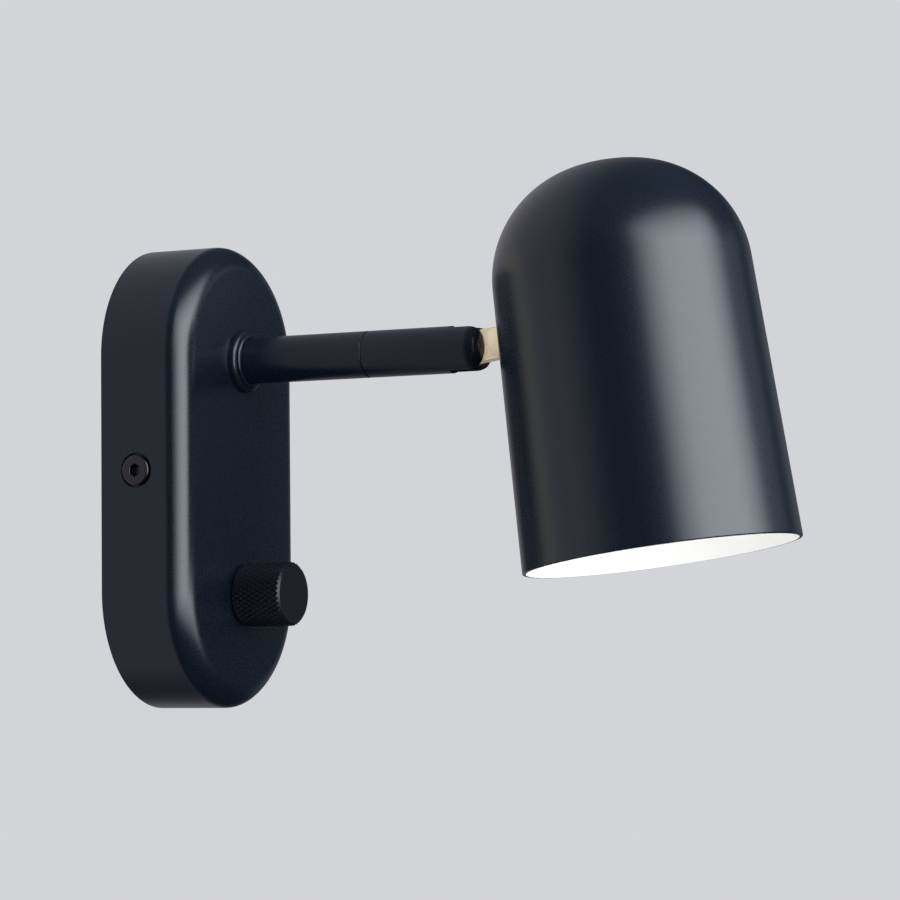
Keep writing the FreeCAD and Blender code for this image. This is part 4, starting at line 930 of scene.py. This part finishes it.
class WALLLAMP_OT_hardware(bpy.types.Operator):
    """Finish every piece of the frame by its slot"""
    bl_idname = "walllamp.hardware"
    bl_label = "Hardware"

    def execute(self, context):
        FINISHES.update(make_finishes(context.scene.lamp_colours))
        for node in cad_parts.values():
            for slot in node.material_slots:
                slot.material = FINISHES[slot.material.name.split(".")[0]]
        return {"FINISHED"}


# Studio

LAMP_MIDDLE = Vector((0, -0.1, 0.04))
CLIP_END = 100.0  # past the far side of the floor, in metres
BACKDROP = "#D3D4D8"
FLOOR = "#C4C5C8"
SOFTBOX = "#F2F7FF"
FILL = "#D4D6D9"  # light from all round, which only matt surfaces take

# What the gloss of the lamp reflects: a dim room with parts laid over it, each with its colour and
# the edges that bound it. An edge has the axis of the direction looked in, where the part starts
# and where it is whole.
ROOM_DIM = "#1B1D22"
ROOM_PARTS = (
    # Above
    ("#434F57", [("Z", 0.35, 0.95)]),
    # A pale panel on the right
    ("#8E939B", [("X", 0.45, 0.65), ("X", 0.88, 0.8), ("Z", 0.0, 0.25), ("Z", 0.5, 0.25)]),
    # Behind the lamp, and straight behind it
    ("#A3A1A9", [("Y", 0.12, 0.7)]),
    ("#C6C2B6", [("Y", 0.9, 1.0)]),
    # A dark low corner behind the lamp
    ("#24262A", [("Y", 0.3, 0.6), ("X", -0.25, 0.32), ("X", 0.86, 0.5), ("Z", 0.2, 0.06)]),
    # Far right
    ("#686C71", [("X", 0.9, 0.99)]),
)


def towards(azimuth, elevation):
    """Unit vector at an azimuth to the right of straight into the room, and an elevation."""
    side = math.sin(azimuth) * math.cos(elevation)
    return Vector((side, -math.cos(azimuth) * math.cos(elevation), math.sin(elevation)))


def make_surroundings(scene, studio):
    """Pale backdrop for the camera, and a room for reflections: pale behind, dim in front."""
    world = bpy.data.worlds.new("studio")
    scene.world = world
    world.use_nodes = True
    tree = world.node_tree
    tree.nodes.clear()
    path = add_node(tree, "ShaderNodeLightPath", {})
    place = add_node(tree, "ShaderNodeTexCoord", {})
    looked = add_node(tree, "ShaderNodeSeparateXYZ", {"Vector": place.outputs["Generated"]})
    room = linear(ROOM_DIM)
    for tone, edges in ROOM_PARTS:
        share = 1.0
        for axis, start, whole in edges:
            edge = add_node(tree, "ShaderNodeMapRange",
                            {"Value": looked.outputs[axis], "From Min": start, "From Max": whole},
                            interpolation_type="SMOOTHSTEP")
            product = add_node(tree, "ShaderNodeMath", {0: share, 1: edge.outputs["Result"]},
                               operation="MULTIPLY")
            share = product.outputs[0]
        mixed = add_node(tree, "ShaderNodeMix",
                         {MIX_SHARE: share, MIX_FIRST: room, MIX_SECOND: linear(tone)},
                         data_type="RGBA")
        room = mixed.outputs[MIX_RESULT]
    seen = add_node(tree, "ShaderNodeMath",
                    {0: path.outputs["Is Camera Ray"], 1: path.outputs["Is Transmission Ray"]},
                    operation="MAXIMUM")
    matt = add_node(tree, "ShaderNodeBackground",
                    {"Color": linear(FILL), "Strength": studio.fill_level})
    glossy = add_node(tree, "ShaderNodeBackground", {"Color": room, "Strength": 1.0})
    backdrop = add_node(tree, "ShaderNodeBackground", {"Color": linear(BACKDROP), "Strength": 1.0})
    lit = add_node(tree, "ShaderNodeMixShader",
                   {"Fac": path.outputs["Is Glossy Ray"], BLEND_FIRST: matt.outputs[0],
                    BLEND_SECOND: glossy.outputs[0]})
    whole = add_node(tree, "ShaderNodeMixShader",
                     {"Fac": seen.outputs[0], BLEND_FIRST: lit.outputs[0],
                      BLEND_SECOND: backdrop.outputs[0]})
    add_node(tree, "ShaderNodeOutputWorld", {"Surface": whole.outputs[0]})


def make_softbox(scene, studio):
    """Large softbox in front of the lamp: layers of light in growing sizes dim its edges."""
    aim = towards(studio.softbox_azimuth, studio.softbox_elevation)
    layers = studio.softbox_layers
    for layer in range(layers):
        wider = studio.softbox_edge * ((layer + 0.5) / layers - 0.5)
        light = bpy.data.lights.new("softbox", "AREA")
        light.shape = "RECTANGLE"
        light.size = studio.softbox_width + 2 * wider
        light.size_y = studio.softbox_height + 2 * wider
        light.energy = studio.softbox_level / layers * math.pi * light.size * light.size_y
        light.color = linear(SOFTBOX)[:3]
        softbox = bpy.data.objects.new("softbox", light)
        scene.collection.objects.link(softbox)
        away = studio.softbox_distance + layer * studio.softbox_gap
        softbox.location = LAMP_MIDDLE + aim * away
        softbox.rotation_euler = aim.to_track_quat("Z", "Y").to_euler()
        softbox.visible_camera = False


def make_floor(scene, studio):
    """Pale floor that takes the lamp's shadow and runs out into the backdrop."""
    bm = bmesh.new()
    bmesh.ops.create_circle(bm, cap_ends=True, segments=FLOOR_STEPS, radius=studio.floor_radius)
    bmesh.ops.translate(bm, vec=(0, 0, -studio.floor_drop), verts=bm.verts)
    mesh = bpy.data.meshes.new("floor")
    bm.to_mesh(mesh)
    bm.free()
    floor = bpy.data.objects.new("floor", mesh)
    scene.collection.objects.link(floor)
    # Background paper: scatters the light evenly, without a gloss
    material, tree, shader = new_finish("background_paper_matt",
                                        {"Base Color": linear(FLOOR), "Roughness": 0.9})
    place = add_node(tree, "ShaderNodeTexCoord", {})
    flat = add_node(tree, "ShaderNodeMapping",
                    {"Vector": place.outputs["Object"], "Scale": (1, 1, 0)})
    away = add_node(tree, "ShaderNodeVectorMath", {0: flat.outputs["Vector"]}, operation="LENGTH")
    share = add_node(tree, "ShaderNodeMapRange",
                     {"Value": away.outputs["Value"], "From Min": studio.floor_near,
                      "From Max": studio.floor_far, "To Min": studio.floor_share},
                     interpolation_type="SMOOTHSTEP")
    glow = add_node(tree, "ShaderNodeEmission", {"Color": linear(BACKDROP), "Strength": 1.0})
    above = add_node(tree, "ShaderNodeMixShader",
                     {"Fac": share.outputs["Result"], BLEND_FIRST: shader.outputs[0],
                      BLEND_SECOND: glow.outputs[0]})
    side = add_node(tree, "ShaderNodeNewGeometry", {})
    clear = add_node(tree, "ShaderNodeBsdfTransparent", {})
    whole = add_node(tree, "ShaderNodeMixShader",
                     {"Fac": side.outputs["Backfacing"], BLEND_FIRST: above.outputs[0],
                      BLEND_SECOND: clear.outputs[0]})
    tree.links.new(whole.outputs[0], tree.nodes["Material Output"].inputs["Surface"])
    mesh.materials.append(material)
    floor.visible_glossy = False  # the paint reflects the room instead


def make_camera(scene, studio):
    """Camera at the photograph's place: below the lamp, on its left and in front of it."""
    lens = bpy.data.cameras.new("camera")
    lens.lens = studio.camera_lens
    lens.clip_end = CLIP_END
    camera = bpy.data.objects.new("camera", lens)
    scene.collection.objects.link(camera)
    camera.location = (-studio.camera_left, -studio.camera_out, -studio.camera_below)
    back = towards(studio.camera_azimuth, studio.camera_elevation)
    level = back.to_track_quat("Z", "Y").to_matrix()
    camera.rotation_euler = (level @ Matrix.Rotation(studio.camera_roll, 3, "Z")).to_euler()
    scene.camera = camera


class WALLLAMP_OT_stage(bpy.types.Operator):
    """Set up the surroundings, the softbox, the floor and the camera"""
    bl_idname = "walllamp.stage"
    bl_label = "Stage"

    def execute(self, context):
        studio = context.scene.studio_settings
        make_surroundings(context.scene, studio)
        make_softbox(context.scene, studio)
        make_floor(context.scene, studio)
        make_camera(context.scene, studio)
        context.scene.view_settings.view_transform = "Standard"
        return {"FINISHED"}


class WALLLAMP_PT_pieces(bpy.types.Panel):
    """Lists the pieces of the lamp and their sizes"""
    bl_idname = "WALLLAMP_PT_pieces"
    bl_label = "Wall lamp"
    bl_space_type = "VIEW_3D"
    bl_region_type = "UI"
    bl_category = "Wall lamp"

    def draw(self, context):
        for operator in OPERATORS:
            self.layout.operator(operator.bl_idname)
        for group in GROUPS:
            settings = getattr(context.scene, group)
            column = self.layout.column(heading=settings.bl_rna.description)
            for name in settings.__annotations__:
                column.prop(settings, name)


OPERATORS = (
    WALLLAMP_OT_hardware,
    WALLLAMP_OT_casing,
    WALLLAMP_OT_side_screws,
    WALLLAMP_OT_collar,
    WALLLAMP_OT_fork,
    WALLLAMP_OT_shade,
    WALLLAMP_OT_knob,
    WALLLAMP_OT_stage,
)


def register():
    for group in GROUPS.values():
        bpy.utils.register_class(group)
    for name, group in GROUPS.items():
        setattr(bpy.types.Scene, name, PointerProperty(type=group))
    for operator in OPERATORS:
        bpy.utils.register_class(operator)
    bpy.utils.register_class(WALLLAMP_PT_pieces)


def unregister():
    bpy.utils.unregister_class(WALLLAMP_PT_pieces)
    for operator in reversed(OPERATORS):
        bpy.utils.unregister_class(operator)
    for name, group in reversed(GROUPS.items()):
        delattr(bpy.types.Scene, name)
        bpy.utils.unregister_class(group)


def main():
    register()
    bpy.ops.walllamp.hardware()
    bpy.ops.walllamp.casing()
    bpy.ops.walllamp.side_screws()
    bpy.ops.walllamp.collar()
    bpy.ops.walllamp.fork()
    bpy.ops.walllamp.shade()
    bpy.ops.walllamp.knob()
    bpy.ops.walllamp.stage()


if __name__ == "__main__":
    main()
